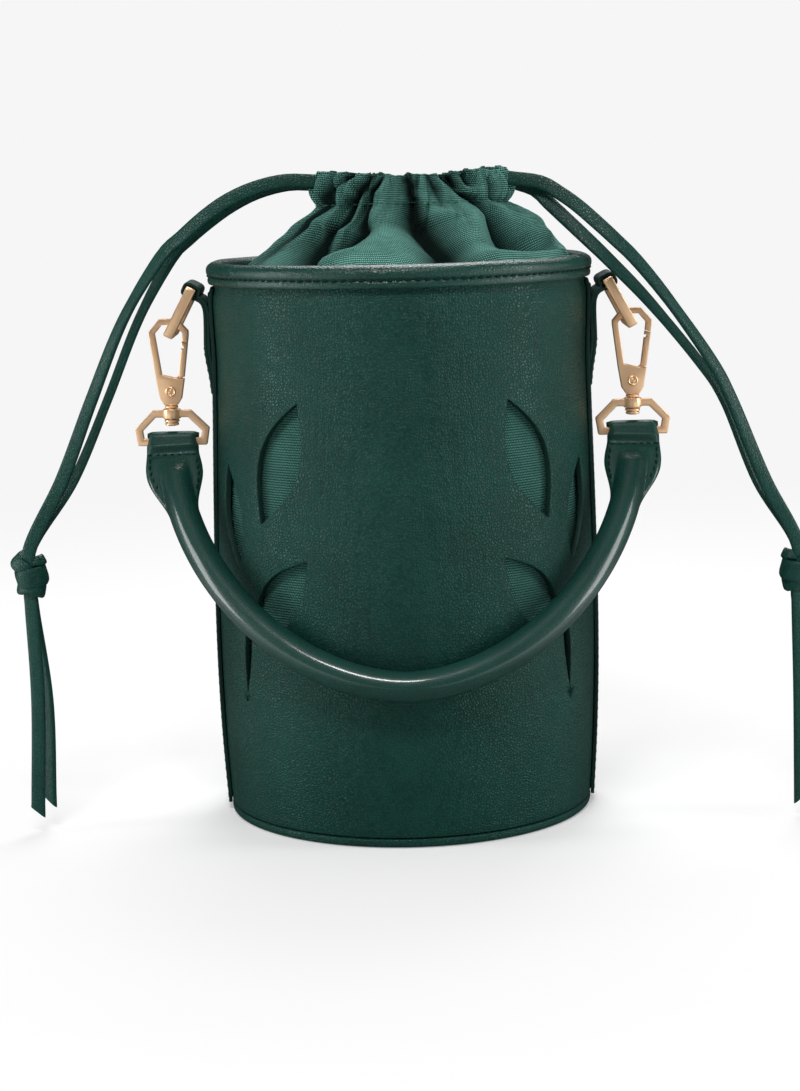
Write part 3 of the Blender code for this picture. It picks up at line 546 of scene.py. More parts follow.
def bandRing(centre, across, out, width, thickness, count):
    ring = []
    for c, s in circle(count, 0.5):
        wide = width / 2 * abs(c) ** drawcord["widthPower"] * (1 if c > 0 else -1)
        tall = thickness / 2 * abs(s) ** drawcord["thickPower"] * (1 if s > 0 else -1)
        ring.append(centre + across * wide + out * tall)
    return ring


def thongMesh(name, route, turnsAt):
    lengths = routeLengths(route)
    twists = np.interp(lengths / lengths[-1], *zip(*turnsAt))
    width, thickness, around = drawcord["width"], drawcord["thickness"], drawcord["around"]
    front = Vector((0, -1, 0))
    rows = []
    for i, point in enumerate(route):
        along = (route[min(i + 1, len(route) - 1)] - route[max(i - 1, 0)]).normalized()
        out = (front - along * front.dot(along)).normalized()
        out = Matrix.Rotation(radians(float(twists[i])), 3, along) @ out
        rows.append(bandRing(point, along.cross(out), out, width, thickness, around))
    slant = drawcord["slant"] * (1 if route[-1].x < 0 else -1)  # the tip is cut aslant
    rows[-1] = [point - Vector((0, 0, slant * (point - route[-1]).x)) for point in rows[-1]]
    return gridMesh(name, rows, across=True, caps=True, sharp=drawcord["sharp"])


def knotMesh(name, centre, mirror):
    steps, around = knotShape["steps"], knotShape["around"]
    points, faces = [], []
    for middle, half, roll, nod, width in knotWraps:
        lean = Euler((radians(nod), radians(roll * mirror), 0)).to_matrix()
        offset = Vector((middle[0] * mirror, middle[1], middle[2]))
        faces += gridFaces(steps, around, along=True, start=len(points))
        for i in range(steps):
            turn = 2 * pi * i / steps
            out = Vector((cos(turn), sin(turn), 0))
            swell = 1 + knotShape["swell"] * sin(2 * turn + roll)
            wave = knotShape["wave"] * sin(3 * turn)
            spot = Vector((half[0] * cos(turn) * swell, half[1] * sin(turn) * swell, wave))
            points += bandRing(centre + offset + lean @ spot, lean @ Vector((0, 0, 1)), lean @ out, width,
                               knotShape["thickness"], around)
    rings, around = knotShape["coreRings"], knotShape["coreAround"]
    wide, deep, tall = knotShape["coreHalf"]
    faces += gridFaces(rings, around, caps=True, start=len(points))
    for r in range(rings):
        dip = pi * (r + 0.5) / rings
        x, y, z = wide * sin(dip), deep * sin(dip), tall * cos(dip)
        points += [centre + Vector((x * c, y * s, z)) for c, s in circle(around)]
    return meshOf(name, points, faces, sharp=knotShape["sharp"])


for sideName, sign in sides:
    centre = Vector(knotPlaces[sideName])
    knot = linked(f"{sideName}Knot", knotMesh(f"{sideName}Knot", centre, -sign), thongLeather)
    dress(knot, "bag", "leather", f"{sideName}_knot")
    for layer, shift in (("front", -drawcord["spread"]), ("back", drawcord["spread"])):
        key = f"{sideName}_{layer}"
        over = centre + Vector((0, shift, drawcord["reach"]))
        under = centre + Vector((0, shift, -drawcord["reach"]))
        route = smoothRoute([*strands[key], over, under, *tails[key]], drawcord["pitch"])
        name = f"{sideName}{layer.title()}Thong"
        thong = linked(name, thongMesh(name, route, thongTurns[key]), thongLeather)
        dress(thong, "bag", "leather", f"{key}_strand", f"{key}_tail")

# Leather body; each leaf is its place along the wall, its height, length, width and lean
shell = dict(radius=0.0661, bulge=0.0023, skew=0.65, power=1.5, thickness=0.0022, seamGap=0.0008,
             panelFoot=0.0035, panelTop=0.1967, rimFoot=0.191, grid=0.0031, edge=0.0016, edgeSteps=14,
             clear=0.6, flare=0.0010, flareLow=0.160, flareHigh=0.187, flareEnd=0.188, softEdge=0.00042,
             softSteps=3)
ripple = dict(depth=0.00022, along=22, up=18, low=0.03, high=0.16)
leaves = ((0.0461, 0.132, 0.046, 0.018, 22), (0.0473, 0.084, 0.040, 0.016, 40),
          (0.0727, 0.112, 0.038, 0.013, -14), (0.0634, 0.067, 0.036, 0.0040, 6))


def wallRadius(height):
    share = (height - shell["panelFoot"]) / (shell["rimFoot"] - shell["panelFoot"])
    if share <= 0 or share >= 1:
        return shell["radius"]
    flare = shell["flare"] * ease(height, shell["flareLow"], shell["flareHigh"])
    flare *= 1 - ease(height, shell["flareEnd"], shell["rimFoot"])
    return shell["radius"] + flare + shell["bulge"] * sin(pi * share ** shell["skew"]) ** shell["power"]


def leafOutline(side, leaf):
    along, height, length, width, lean = leaf
    steps = max(shell["edgeSteps"], round(length / shell["edge"]))
    right = [(width / 2 * sin(pi * i / steps), length * (i / steps - 0.5)) for i in range(steps)]
    ring = right + [(-x, -z) for x, z in right]
    turn = side * radians(lean)
    c, s = cos(turn), sin(turn)
    return [(side * along + x * c - z * s, height + x * s + z * c) for x, z in ring]


def inside(point, ring):
    hit = False
    for (ax, ay), (bx, by) in zip(ring, ring[1:] + ring[:1]):
        if (ay > point[1]) != (by > point[1]) and point[0] < ax + (point[1] - ay) * (bx - ax) / (by - ay):
            hit = not hit
    return hit


def edgeRow(a, b, step):
    count = max(1, round(hypot(b[0] - a[0], b[1] - a[1]) / step))
    return [(a[0] + (b[0] - a[0]) * i / count, a[1] + (b[1] - a[1]) * i / count) for i in range(count)]


def panelMesh(name, middle):
    half = pi / 2 * shell["radius"] - shell["seamGap"] / 2
    low, high, step = shell["panelFoot"], shell["panelTop"], shell["grid"]
    corners = [(-half, low), (half, low), (half, high), (-half, high)]
    border = [point for a, b in zip(corners, corners[1:] + corners[:1]) for point in edgeRow(a, b, step)]
    holes = [leafOutline(side, leaf) for side in (-1, 1) for leaf in leaves]
    points, links = [], []
    for ring in (border, *holes):
        start = len(points)
        points += ring
        links += [(start + i, start + (i + 1) % len(ring)) for i in range(len(ring))]
    rims = np.array([point for ring in holes for point in ring])
    rows = round((high - low) / step)
    columns = round(2 * half / step)
    for r in range(1, rows):
        for c in range(1, columns):
            stagger = (r % 2 - 0.5) / 2
            spot = (-half + 2 * half * (c + stagger) / columns, low + (high - low) * r / rows)
            near = np.hypot(*(rims - spot).T).min() <= step * shell["clear"]
            if not near and not any(inside(spot, ring) for ring in holes):
                points.append(spot)
    places, _, triangles, *_ = delaunay_2d_cdt([Vector(p) for p in points], links, [], 1, weld)
    kept = []
    for triangle in triangles:
        spot = sum((places[i] for i in triangle), Vector((0, 0))) / 3
        if not any(inside(spot, ring) for ring in holes):
            kept.append(tuple(triangle))
    solid = []
    for s, z in places:
        turn = middle + s / shell["radius"]
        wave = ripple["depth"] * noise.noise(Vector((s * ripple["along"], z * ripple["up"], middle)))
        wave *= ease(z, low, ripple["low"]) * (1 - ease(z, ripple["high"], shell["rimFoot"]))
        radius = wallRadius(z) + wave
        solid.append((radius * cos(turn), radius * sin(turn), z))
    flat = [tuple(places[i]) for triangle in kept for i in triangle]
    return facedOut(meshOf(name, solid, kept, flat, outward=False))


for name, node, middle in (("frontPanel", "front_panel", -pi / 2), ("backPanel", "back_panel", pi / 2)):
    panel = linked(name, panelMesh(name, middle), leather, cutEdge)
    solidify(panel, shell["thickness"], rim=1)
    soften(panel, shell["softEdge"], shell["softSteps"])
    dress(panel, "bag", "leather", node)
print("panels cut")

# Rolled rim band with its row of stitches
rim = dict(steps=256, sharp=55, stitchCount=136, stitchZ=0.1949, stitchRadius=0.06840, stitchSlope=0.10,
           wobble=0.00028, wobbleScale=2.5, wobbleSeed=0.4, wobbleLow=0.195, wobbleHigh=0.199,
           swell=0.00018, swellScale=5, swellSeed=1.7, swellLow=0.067, swellHigh=0.069, drop=0.0001)
rimProfile = (
    (0.0616, 0.1911), (0.0616, 0.1945), (0.06163, 0.1968), (0.0620, 0.1983), (0.0630, 0.1994),
    (0.0645, 0.1999), (0.0660, 0.1999), (0.0673, 0.1994), (0.0683, 0.1987), (0.06885, 0.1979),
    (0.0690, 0.1969), (0.06893, 0.1960), (0.06858, 0.1953), (0.06808, 0.1949), (0.06828, 0.1944),
    (0.06850, 0.1938), (0.06852, 0.1931), (0.06838, 0.1925), (0.06805, 0.1921), (0.0664, 0.1921),
    (0.0664, 0.1970), (0.0636, 0.1970), (0.0636, 0.1911),
)


def rimSway(c, s, radius, height):
    swell = rim["swell"] * ease(radius, rim["swellLow"], rim["swellHigh"])
    wobble = rim["wobble"] * ease(height, rim["wobbleLow"], rim["wobbleHigh"])
    rise = wobble * flutter(c, s, rim["wobbleScale"], rim["wobbleSeed"])
    return swell * flutter(c, s, rim["swellScale"], rim["swellSeed"]), rise - rim["drop"]


rimMesh = turnedMesh("rimBand", rimProfile, rim["steps"], sharp=rim["sharp"], sway=rimSway)
dress(linked("rimBand", rimMesh, rimLeather), "bag", "leather", "rim_band")
rimSeam = ringSeam(rim["stitchCount"], rim["stitchRadius"], rim["stitchZ"], rim["stitchSlope"])
stitches("rimStitches", rimSeam, "bag")
print("rim rolled and sewn")

# Side strips over the seams
strip = dict(width=0.022, thickness=0.0012, foot=0.0020, corner=0.005, top=0.1907, gap=0.0003, inset=0.0022,
             cornerRows=8, rows=56, columns=12, trim=0.00002, softEdge=0.00035, pitch=0.0032, footStitches=5,
             stitchWidth=0.00036, stitchSink=0.5)


def stripPoint(side, across, height):
    radius = wallRadius(height) + strip["gap"] + strip["thickness"]
    turn = across / shell["radius"]
    return Vector((side * radius * cos(turn), radius * sin(turn), height))


def stripHalf(height):
    dip = max(0.0, strip["corner"] - (height - strip["foot"]))
    return strip["width"] / 2 - strip["corner"] + sqrt(max(0.0, strip["corner"] ** 2 - dip ** 2))


def stripMesh(name, side):
    foot, corner, columns = strip["foot"] + strip["trim"], strip["corner"], strip["columns"]
    bends = [pi / 2 * i / strip["cornerRows"] for i in range(strip["cornerRows"] + 1)]
    heights = [foot + corner * (1 - cos(bend)) for bend in bends]
    straight = strip["top"] - heights[-1]
    heights += [heights[-1] + straight * i / strip["rows"] for i in range(1, strip["rows"] + 1)]
    shares = [2 * c / columns - 1 for c in range(columns + 1)]
    rows = [[stripPoint(side, stripHalf(z) * share, z) for share in shares] for z in heights]
    return facedOut(gridMesh(name, rows, outward=False))


def stripSeam(side):
    low, pitch = strip["foot"] + strip["inset"], strip["pitch"]
    spots = []
    for i in range(round((strip["top"] - low) / pitch)):
        z = low + (i + 0.5) * pitch
        half = stripHalf(z) - strip["inset"]
        spots += [(stripPoint(side, edge * half, z), (0, 0, 1)) for edge in (-1, 1)]
    middle = strip["footStitches"] // 2
    spots += [(stripPoint(side, pitch * (i - middle), low), (0, 1, 0)) for i in range(strip["footStitches"])]
    return [(spot, along, (spot.x, spot.y, 0)) for spot, along in spots]


for sideName, sign in sides:
    name = f"{sideName}SideStrip"
    piece = linked(name, stripMesh(name, sign), leather, cutEdge)
    solidify(piece, strip["thickness"], rim=1)
    soften(piece, strip["softEdge"])
    dress(piece, "bag", "leather", f"{sideName}_side_strip")
    stitches(f"{sideName}StripStitches", stripSeam(sign), "bag", width=strip["stitchWidth"],
             sink=strip["stitchSink"])
print("side strips sewn")

# Base: a welt, and a panel whose edge is listed by its distance in from the welt and its height
welt = dict(steps=192, height=0.0032, width=0.0046, round=0.0012, roundSteps=7, sharp=50)
base = dict(steps=96, centre=0.0006, middle=0.030, low=0.0002, high=0.0024, sharp=50, stitchCount=118,
            stitchInset=0.0030, stitchZ=0.00028, stitchWidth=0.00022)
baseEdge = ((0.0015, 0.0001), (0.0006, 0.0003), (0.0003, 0.0008), (0.0003, 0.0020), (0.0008, 0.0024))
weltInside = shell["radius"] - welt["width"]
bends = np.linspace(pi / 2, 0, welt["roundSteps"])
rounding = [(shell["radius"] - welt["round"] * (1 - cos(t)), welt["round"] * (1 - sin(t))) for t in bends]
weltProfile = [(weltInside, welt["height"])]
weltProfile += [(radius, welt["height"] - drop) for radius, drop in rounding]
weltProfile += [*reversed(rounding), (weltInside, 0.0)]
weltMesh = turnedMesh("baseWelt", weltProfile, welt["steps"], sharp=welt["sharp"])
dress(linked("baseWelt", weltMesh, leather), "bag", "leather", "base_welt")
baseProfile = [(radius, base["low"]) for radius in (base["centre"], base["middle"])]
baseProfile += [(weltInside - gap, height) for gap, height in baseEdge]
baseProfile += [(radius, base["high"]) for radius in (base["middle"], base["centre"])]
baseMesh = turnedMesh("basePanel", baseProfile, base["steps"], sharp=base["sharp"])
dress(linked("basePanel", baseMesh, leather), "bag", "leather", "base_panel")
baseSeam = ringSeam(base["stitchCount"], weltInside - base["stitchInset"], base["stitchZ"], below=True)
stitches("baseStitches", baseSeam, "bag", width=base["stitchWidth"])
print("base made")

# Canvas lining
lining = dict(thickness=0.0012, foot=0.0065, top=0.1892, hem=0.008, radius=0.061, gap=0.0028, steps=180,
              rows=48, slack=0.0005, slackIn=0.0003, slackScale=6, slackRise=14)
bed = dict(height=0.0062, centre=0.0003, gap=0.0002, rings=24, around=96, ripple=0.00025, rippleScale=60,
           rippleSeed=3.0)


def liningRadius(height):
    wall = wallRadius(height) - lining["gap"]
    up = ease(height, lining["foot"], lining["foot"] + lining["hem"])
    down = 1 - ease(height, lining["top"] - lining["hem"], lining["top"])
    return lining["radius"] + (wall - lining["radius"]) * min(up, down)


def liningSway(c, s, radius, height):
    slack = lining["slack"] * flutter(c, s, lining["slackScale"], height * lining["slackRise"])
    return slack - lining["slackIn"], 0.0


def bedSway(c, s, radius, height):
    return 0.0, bed["ripple"] * flutter(radius * c, radius * s, bed["rippleScale"], bed["rippleSeed"])


heights = np.linspace(lining["foot"], lining["top"], lining["rows"] + 1)
wallProfile = [(liningRadius(height), height) for height in heights]
wallMesh = turnedMesh("liningWall", wallProfile, lining["steps"], closed=False, sway=liningSway)
wall = linked("liningWall", wallMesh, shadedLiningCanvas)
solidify(wall, lining["thickness"])
dress(wall, "bag", "canvas", "lining_wall")
radii = np.linspace(bed["centre"], lining["radius"] - bed["gap"], bed["rings"] + 1)
bedProfile = [(radius, bed["height"]) for radius in radii]
bedMesh = turnedMesh("liningBottom", bedProfile, bed["around"], closed=False, sway=bedSway)
for loop, data in zip(bedMesh.loops, bedMesh.uv_layers[0].data):
    data.uv = bedMesh.vertices[loop.vertex_index].co.xy
bottom = linked("liningBottom", bedMesh, shadedLiningCanvas)
solidify(bottom, lining["thickness"])
dress(bottom, "bag", "canvas", "lining_bottom")
print("lining hung")

# Gathered drawstring top: its shape, how its cloth puffs and creases, how its casing swells and crumples, and
# the shade painted into its folds and pleats
top = dict(foot=0.1895, hem=0.0020, radius=0.061, neckWidth=0.0326, neckDepth=0.0240, offset=0.0052,
           neckZ=0.2185, power=1.12, bell=1.25, columns=760, rows=64, casingRows=32, thickness=0.0009,
           sharp=180)
cloth = dict(puff=0.0022, puffFoot=0.6, puffLumps=0.8, lumpScale=45, lumpRise=1.8, puffFull=0.2, puffLift=0.5,
             rightPuff=0.0040, arch=0.0022, crease=0.0017, creaseScale=110, creaseRise=5, creaseSeed=5,
             creaseLow=0.05, creaseHigh=0.3, gather=0.0026, gatherScale=8, gatherLow=0.25, gatherShade=0.9,
             shadeLow=0.35, pleatGain=2.4, pleatFloor=0.55, pleatRise=0.5, pleatLip=0.15)
neck = dict(edgeZ=0.2288, sideRise=0.0018, endSwell=0.0030, swellReach=1.05, swellPower=0.8, crumple=0.0020,
            crumplePower=1.5, frillScale=15, frillSeed=4.0, frillShade=1.5, close=0.0050, wave=0.0011,
            waveScale=110, waveSeed=1.0, fray=0.0006, frayScale=380, fraySeed=2.0, foldDip=0.10,
            seamPitch=0.0027, seamLift=0.0001, stitchLength=0.0019, stitchWidth=0.00026)
# fold also holds the painted shade laid into the folds' valleys: its narrow core and wide haze, the fold
# depth where it is full, its strength, where it is full and its cap
fold = dict(relief=1.7, reliefFull=0.15, sag=0.9, flank=0.45, stray=0.035, strayScale=3, strayRise=2.4,
            rimFold=0.2, fadeIn=0.1, slit=0.45, slitSharp=1.3, trough=0.60, troughWide=2.7, core=0.76,
            coreSharp=0.62, corePower=1.6, haze=0.24, hazeSharp=0.32, fullShadeDepth=0.0036, shade=1.2, shadeFull=0.2,
            darkest=0.97, backTurn=0.10, backDepth=0.9)
# Front folds from the foot up: height (0 rim, 1 casing seam, 2 top edge), place round the neck, depth, width
frontFolds = (
    ((0.10, 3.38, 0.0012, 0.10), (0.60, 3.40, 0.0026, 0.080), (1.0, 3.44, 0.0042, 0.060),
     (1.7, 3.52, 0.0024, 0.05)),
    ((0.80, 3.62, 0.0003, 0.06), (1.0, 3.64, 0.0014, 0.060), (1.5, 3.62, 0.0030, 0.045),
     (1.9, 3.86, 0.0036, 0.045)),
    ((0.05, 4.06, 0.0030, 0.08), (0.35, 3.94, 0.0064, 0.095), (0.51, 3.89, 0.0070, 0.095),
     (0.62, 3.85, 0.0068, 0.090), (0.74, 3.86, 0.0066, 0.075), (0.84, 3.95, 0.0060, 0.055),
     (0.95, 3.96, 0.0056, 0.048), (1.4, 4.05, 0.0038, 0.040), (2.0, 4.20, 0.0024, 0.035)),
    ((0.34, 4.10, 0.0016, 0.11), (0.50, 4.16, 0.0046, 0.105), (0.62, 4.22, 0.0064, 0.085),
     (0.73, 4.26, 0.0068, 0.060), (0.84, 4.20, 0.0062, 0.046), (0.93, 4.18, 0.0054, 0.040),
     (1.4, 4.20, 0.0040, 0.036), (2.0, 4.33, 0.0022, 0.035)),
    ((0.05, 5.06, 0.0036, 0.08), (0.42, 5.00, 0.0064, 0.070), (0.60, 4.92, 0.0080, 0.080),
     (0.76, 4.82, 0.0090, 0.100), (0.86, 4.75, 0.0082, 0.070), (1.0, 4.71, 0.0068, 0.045),
     (1.9, 4.69, 0.0040, 0.040)),
    ((0.85, 5.03, 0.0003, 0.06), (1.0, 5.02, 0.0016, 0.040), (1.5, 4.97, 0.0028, 0.035),
     (2.0, 4.93, 0.0020, 0.03)),
    ((0.27, 5.80, 0.0030, 0.120), (0.36, 5.72, 0.0066, 0.130), (0.46, 5.64, 0.0080, 0.120),
     (0.56, 5.58, 0.0078, 0.090), (0.80, 5.57, 0.0066, 0.060), (0.91, 5.54, 0.0060, 0.052),
     (1.0, 5.47, 0.0052, 0.046), (1.3, 5.32, 0.0042, 0.040), (1.9, 5.11, 0.0028, 0.035)),
    ((1.28, 5.36, 0.0004, 0.03), (1.5, 5.31, 0.0030, 0.034), (1.8, 5.22, 0.0036, 0.034),
     (2.0, 5.18, 0.0022, 0.03)),
    ((1.40, 5.52, 0.0004, 0.03), (1.56, 5.48, 0.0034, 0.038), (1.9, 5.40, 0.0040, 0.036),
     (2.0, 5.38, 0.0024, 0.03)),
    ((0.90, 5.96, 0.0004, 0.06), (1.1, 5.84, 0.0034, 0.055), (1.7, 5.80, 0.0032, 0.045),
     (2.0, 5.94, 0.0022, 0.04)),
)


def foldAtBack(path):
    turn, share = 2 * pi + fold["backTurn"], fold["backDepth"]
    return [(up, turn - place, share * deep, wide) for up, place, deep, wide in path]


folds = [np.array(path).T for path in (*frontFolds, *map(foldAtBack, frontFolds))]


def foldDepth(turns, up):
    slit, trough, paintedFoldShade = np.zeros((3, len(turns)))
    for ups, places, deeps, wides in folds:
        gap = (turns - np.interp(up, ups, places) + pi) % (2 * pi) - pi
        begun = 1 if ups[0] < fold["rimFold"] else ease(up, ups[0], ups[0] + fold["fadeIn"])
        reach = np.interp(up, ups, deeps) * begun
        ratio = np.abs(gap) / np.interp(up, ups, wides)
        slit = np.maximum(slit, fold["slit"] * reach * np.exp(-fold["slitSharp"] * ratio))
        trough += fold["trough"] * reach * np.exp(-(ratio / fold["troughWide"]) ** 2)
        # painted shade in the valley: a narrow core and a wide haze, full once the fold is deep enough
        shade = fold["core"] * np.exp(-(fold["coreSharp"] * ratio) ** fold["corePower"])
        shade = shade + fold["haze"] * np.exp(-(fold["hazeSharp"] * ratio) ** 2)
        paintedFoldShade = np.maximum(paintedFoldShade, min(1.0, reach / fold["fullShadeDepth"]) * shade)
    return slit + trough, paintedFoldShade


def pleats(c, s, scale, level):
    return min(1.0, cloth["pleatGain"] * abs(flutter(c, s, scale, level))) - cloth["pleatFloor"]


# The casing swells over the thongs and crumples towards its edge, with painted shade in the frill's dips
def casingShift(spot, out, c, s, x, y, carved, rise):
    hump = sin(pi * min(1.0, rise * neck["swellReach"])) ** neck["swellPower"]
    swell = neck["endSwell"] * c ** 4 * hump
    frill = pleats(c, s, neck["frillScale"], neck["frillSeed"] + cloth["pleatRise"] * rise)
    crumple = neck["crumple"] * frill * rise ** neck["crumplePower"] * abs(s) ** 0.5
    spot = spot + out * (swell + crumple - neck["close"] * rise * abs(s))
    edge = neck["edgeZ"] + neck["sideRise"] * c * c
    edge += neck["wave"] * flutter(x, y, neck["waveScale"], neck["waveSeed"])
    edge += neck["fray"] * flutter(x, y, neck["frayScale"], neck["fraySeed"])
    edge -= neck["foldDip"] * carved
    spot.z += (edge - spot.z) * rise
    return spot, neck["frillShade"] * max(0.0, -cloth["pleatLip"] - frill) * rise


def topRow(turns, share, rise):
    width = top["radius"] + (top["neckWidth"] - top["radius"]) * share ** top["power"]
    depth = top["radius"] + (top["neckDepth"] - top["radius"]) * (1 - (1 - share) ** top["bell"])
    height = top["foot"] + top["hem"] + (top["neckZ"] - top["foot"] - top["hem"]) * share
    level = fold["strayRise"] * (share + rise)
    stray = [fold["stray"] * flutter(cos(t), sin(t), fold["strayScale"], level) for t in turns]
    deep, shadow = foldDepth(turns + np.array(stray), share + rise)
    flank = np.clip(np.abs(np.sin(turns)) / fold["flank"], 0, 1)
    depths = fold["relief"] * deep * ease(share, 0.0, fold["reliefFull"]) * flank
    # the folds' painted shade, faded in above the rim
    shadow = fold["shade"] * shadow * ease(share, 0.0, fold["shadeFull"])
    dome = sin(pi * share)
    steep = 1 - share ** 3
    puffed = cloth["puff"] * (dome + cloth["puffFoot"]) * ease(share, 0.0, cloth["puffFull"])
    creased = cloth["crease"] * ease(share, cloth["creaseLow"], cloth["creaseHigh"])
    creaseLevel = share * cloth["creaseRise"] + cloth["creaseSeed"]
    pleated = cloth["gather"] * ease(share, cloth["gatherLow"], 1.0)
    dimmed = cloth["gatherShade"] * ease(share, cloth["shadeLow"], 1.0)
    row = []
    for i, (turn, carved) in enumerate(zip(turns, depths)):
        c, s = cos(turn), sin(turn)
        x, y = width * c, depth * s
        out = Vector((c / width, s / depth, 0)).normalized()
        lumps = 1 + cloth["puffLumps"] * flutter(x, y, cloth["lumpScale"], share * cloth["lumpRise"])
        puff = puffed * lumps * abs(s)
        puff += cloth["rightPuff"] * max(0.0, c) ** 2 * (1 - (2 * share - 1) ** 4)
        pleat = pleats(c, s, cloth["gatherScale"], cloth["pleatRise"] * share)
        creases = creased * flutter(x, y, cloth["creaseScale"], creaseLevel) + pleated * pleat
        # painted shade in the dips of the pleats near the neck
        shade = dimmed * max(0.0, -cloth["pleatLip"] - pleat)
        z = height + cloth["puffLift"] * puff + (cloth["arch"] * abs(s) * dome - fold["sag"] * carved) * steep
        spot = Vector((top["offset"] * share + x, y, z)) + out * (puff + creases - carved)
        if rise > 0:
            spot, frillShade = casingShift(spot, out, c, s, x, y, carved, rise)
            shade = max(shade, frillShade)
        shadow[i] = max(shadow[i], shade)
        row.append(spot)
    return row, np.minimum(shadow, fold["darkest"])


turns = np.linspace(0, 2 * pi, top["columns"], endpoint=False)
hemRow = [(top["radius"] * cos(t), top["radius"] * sin(t), top["foot"]) for t in turns]
made = [(hemRow, np.zeros(top["columns"]))]
made += [topRow(turns, i / top["rows"], 0.0) for i in range(top["rows"] + 1)]
made += [topRow(turns, 1.0, i / top["casingRows"]) for i in range(1, top["casingRows"] + 1)]
topRows = np.array([[tuple(point) for point in row] for row, _ in made])
# painted shade per point, read by the canvas colour
paintedFoldShade = np.concatenate([shadow for _, shadow in made]).astype(np.float32)
girth = 2 * pi * top["radius"]
across = np.linspace(0, girth, top["columns"] + 1)
topMesh = gridMesh("drawstringTop", topRows, across=True, us=across, sharp=top["sharp"])
topMesh.attributes.new("paintedFoldShade", "FLOAT", "POINT").data.foreach_set("value", paintedFoldShade)
gathered = linked("drawstringTop", topMesh, canvas)
solidify(gathered, top["thickness"])
dress(gathered, "bag", "canvas", "drawstring_top")

seamRow, rowAbove = topRows[top["rows"] + 1], topRows[top["rows"] + 3]
casingSeam = []
walked = 0.0
for here, ahead, above in zip(seamRow, np.roll(seamRow, -1, 0), rowAbove):
    here, along = Vector(here), Vector(ahead) - Vector(here)
    walked += along.length
    if walked > neck["seamPitch"]:
        walked = 0.0
        out = along.cross(Vector(above) - here)
        casingSeam.append((here + out.normalized() * neck["seamLift"], along, out))
casing = stitches("casingStitches", casingSeam, "bag", length=neck["stitchLength"],
                  width=neck["stitchWidth"], paint=canvasThread)
print("drawstring top gathered:", len(casingSeam), "stitches")

# Side hardware
hardware = dict(loopX=0.074219, loopZ=0.1897, hookX=0.083306, tilt=radians(28), sharp=25, bevelSteps=2)


def inset(corners, distance, closed=False):
    corners = [Vector(corner) for corner in corners]
    count = len(corners)
    line = []
    for i, corner in enumerate(corners):
        before = corner - corners[i - 1] if closed or i else corners[1] - corner
        after = corners[(i + 1) % count] - corner if closed or i + 1 < count else before
        along = (before.normalized() + after.normalized()).normalized()
        spread = distance / along.dot(after.normalized())
        line.append((corner.x + along.y * spread, corner.y - along.x * spread))
    return line


def arc(centre, radius, start, end, steps):
    return [(centre[0] + radius * cos(start + (end - start) * i / steps),
             centre[1] + radius * sin(start + (end - start) * i / steps)) for i in range(steps + 1)]


def rounded(corners, radius, steps=4):
    path = []
    for i, corner in enumerate(corners):
        corner = Vector(corner)
        before = (Vector(corners[i - 1]) - corner).normalized()
        after = (Vector(corners[(i + 1) % len(corners)]) - corner).normalized()
        half = before.angle(after) / 2
        middle = corner + (before + after).normalized() * (radius / sin(half))
        start = corner + before * (radius * cos(half) / sin(half)) - middle
        end = corner + after * (radius * cos(half) / sin(half)) - middle
        for step in range(steps + 1):
            path.append(tuple(middle + start.slerp(end, step / steps).normalized() * radius))
    return path


def plate(name, outline, thickness, holes=(), edge=0.0):
    curve = bpy.data.curves.new(name, "CURVE")
    curve.dimensions = "2D"
    curve.fill_mode = "BOTH"
    curve.extrude = thickness / 2 - edge
    curve.bevel_depth = edge
    curve.bevel_resolution = hardware["bevelSteps"] if edge else 0
    curve.offset = -edge
    for loop in (outline, *holes):
        spline = curve.splines.new("POLY")
        spline.points.add(len(loop) - 1)
        for point, place in zip(spline.points, loop):
            point.co = (*place, 0.0, 1.0)
        spline.use_cyclic_u = True
    guide = added(name, curve)
    mesh = bakedMesh(guide)
    bpy.data.objects.remove(guide)
    return linked(name, tidyMesh(mesh, hardware["sharp"]), gold)


def stood(piece, x):
    piece.data.transform(Matrix.Translation((x, 0, 0)) @ Matrix.Rotation(pi / 2, 4, "X"))
    return piece


def smoothed(piece, sharp=hardware["sharp"]):
    tidyMesh(piece.data, sharp)
    return piece


# Ring tab: a strap folded over the flat ring's bar and sewn to the wall
tab = dict(width=0.020, layer=0.00108, foot=0.153, bend=0.1835, wallX=0.068519, hole=0.00222, lap=0.0020,
           skive=0.018, columns=12, foldSteps=29, square=4, pitch=0.0012, hugLow=0.004, hugHigh=0.012,
           softEdge=0.0003)
tabSeam = dict(half=0.0078, foot=0.0030, pitch=0.0028, count=5, rowHalf=0.0065, rowPitch=0.0026, rowCount=6,
               rowHeights=(0.0022, 0.0160), length=0.0022, width=0.00034, sink=0.5)
ring = dict(bar=0.0026, thickness=0.0036, length=0.0168, halfWidth=0.0105, corner=0.0010, insideCorner=0.0005,
            edge=0.00055)


def tabLap(height):
    return tab["lap"] * (1 - ease(height, tab["foot"], tab["foot"] + tab["skive"]))


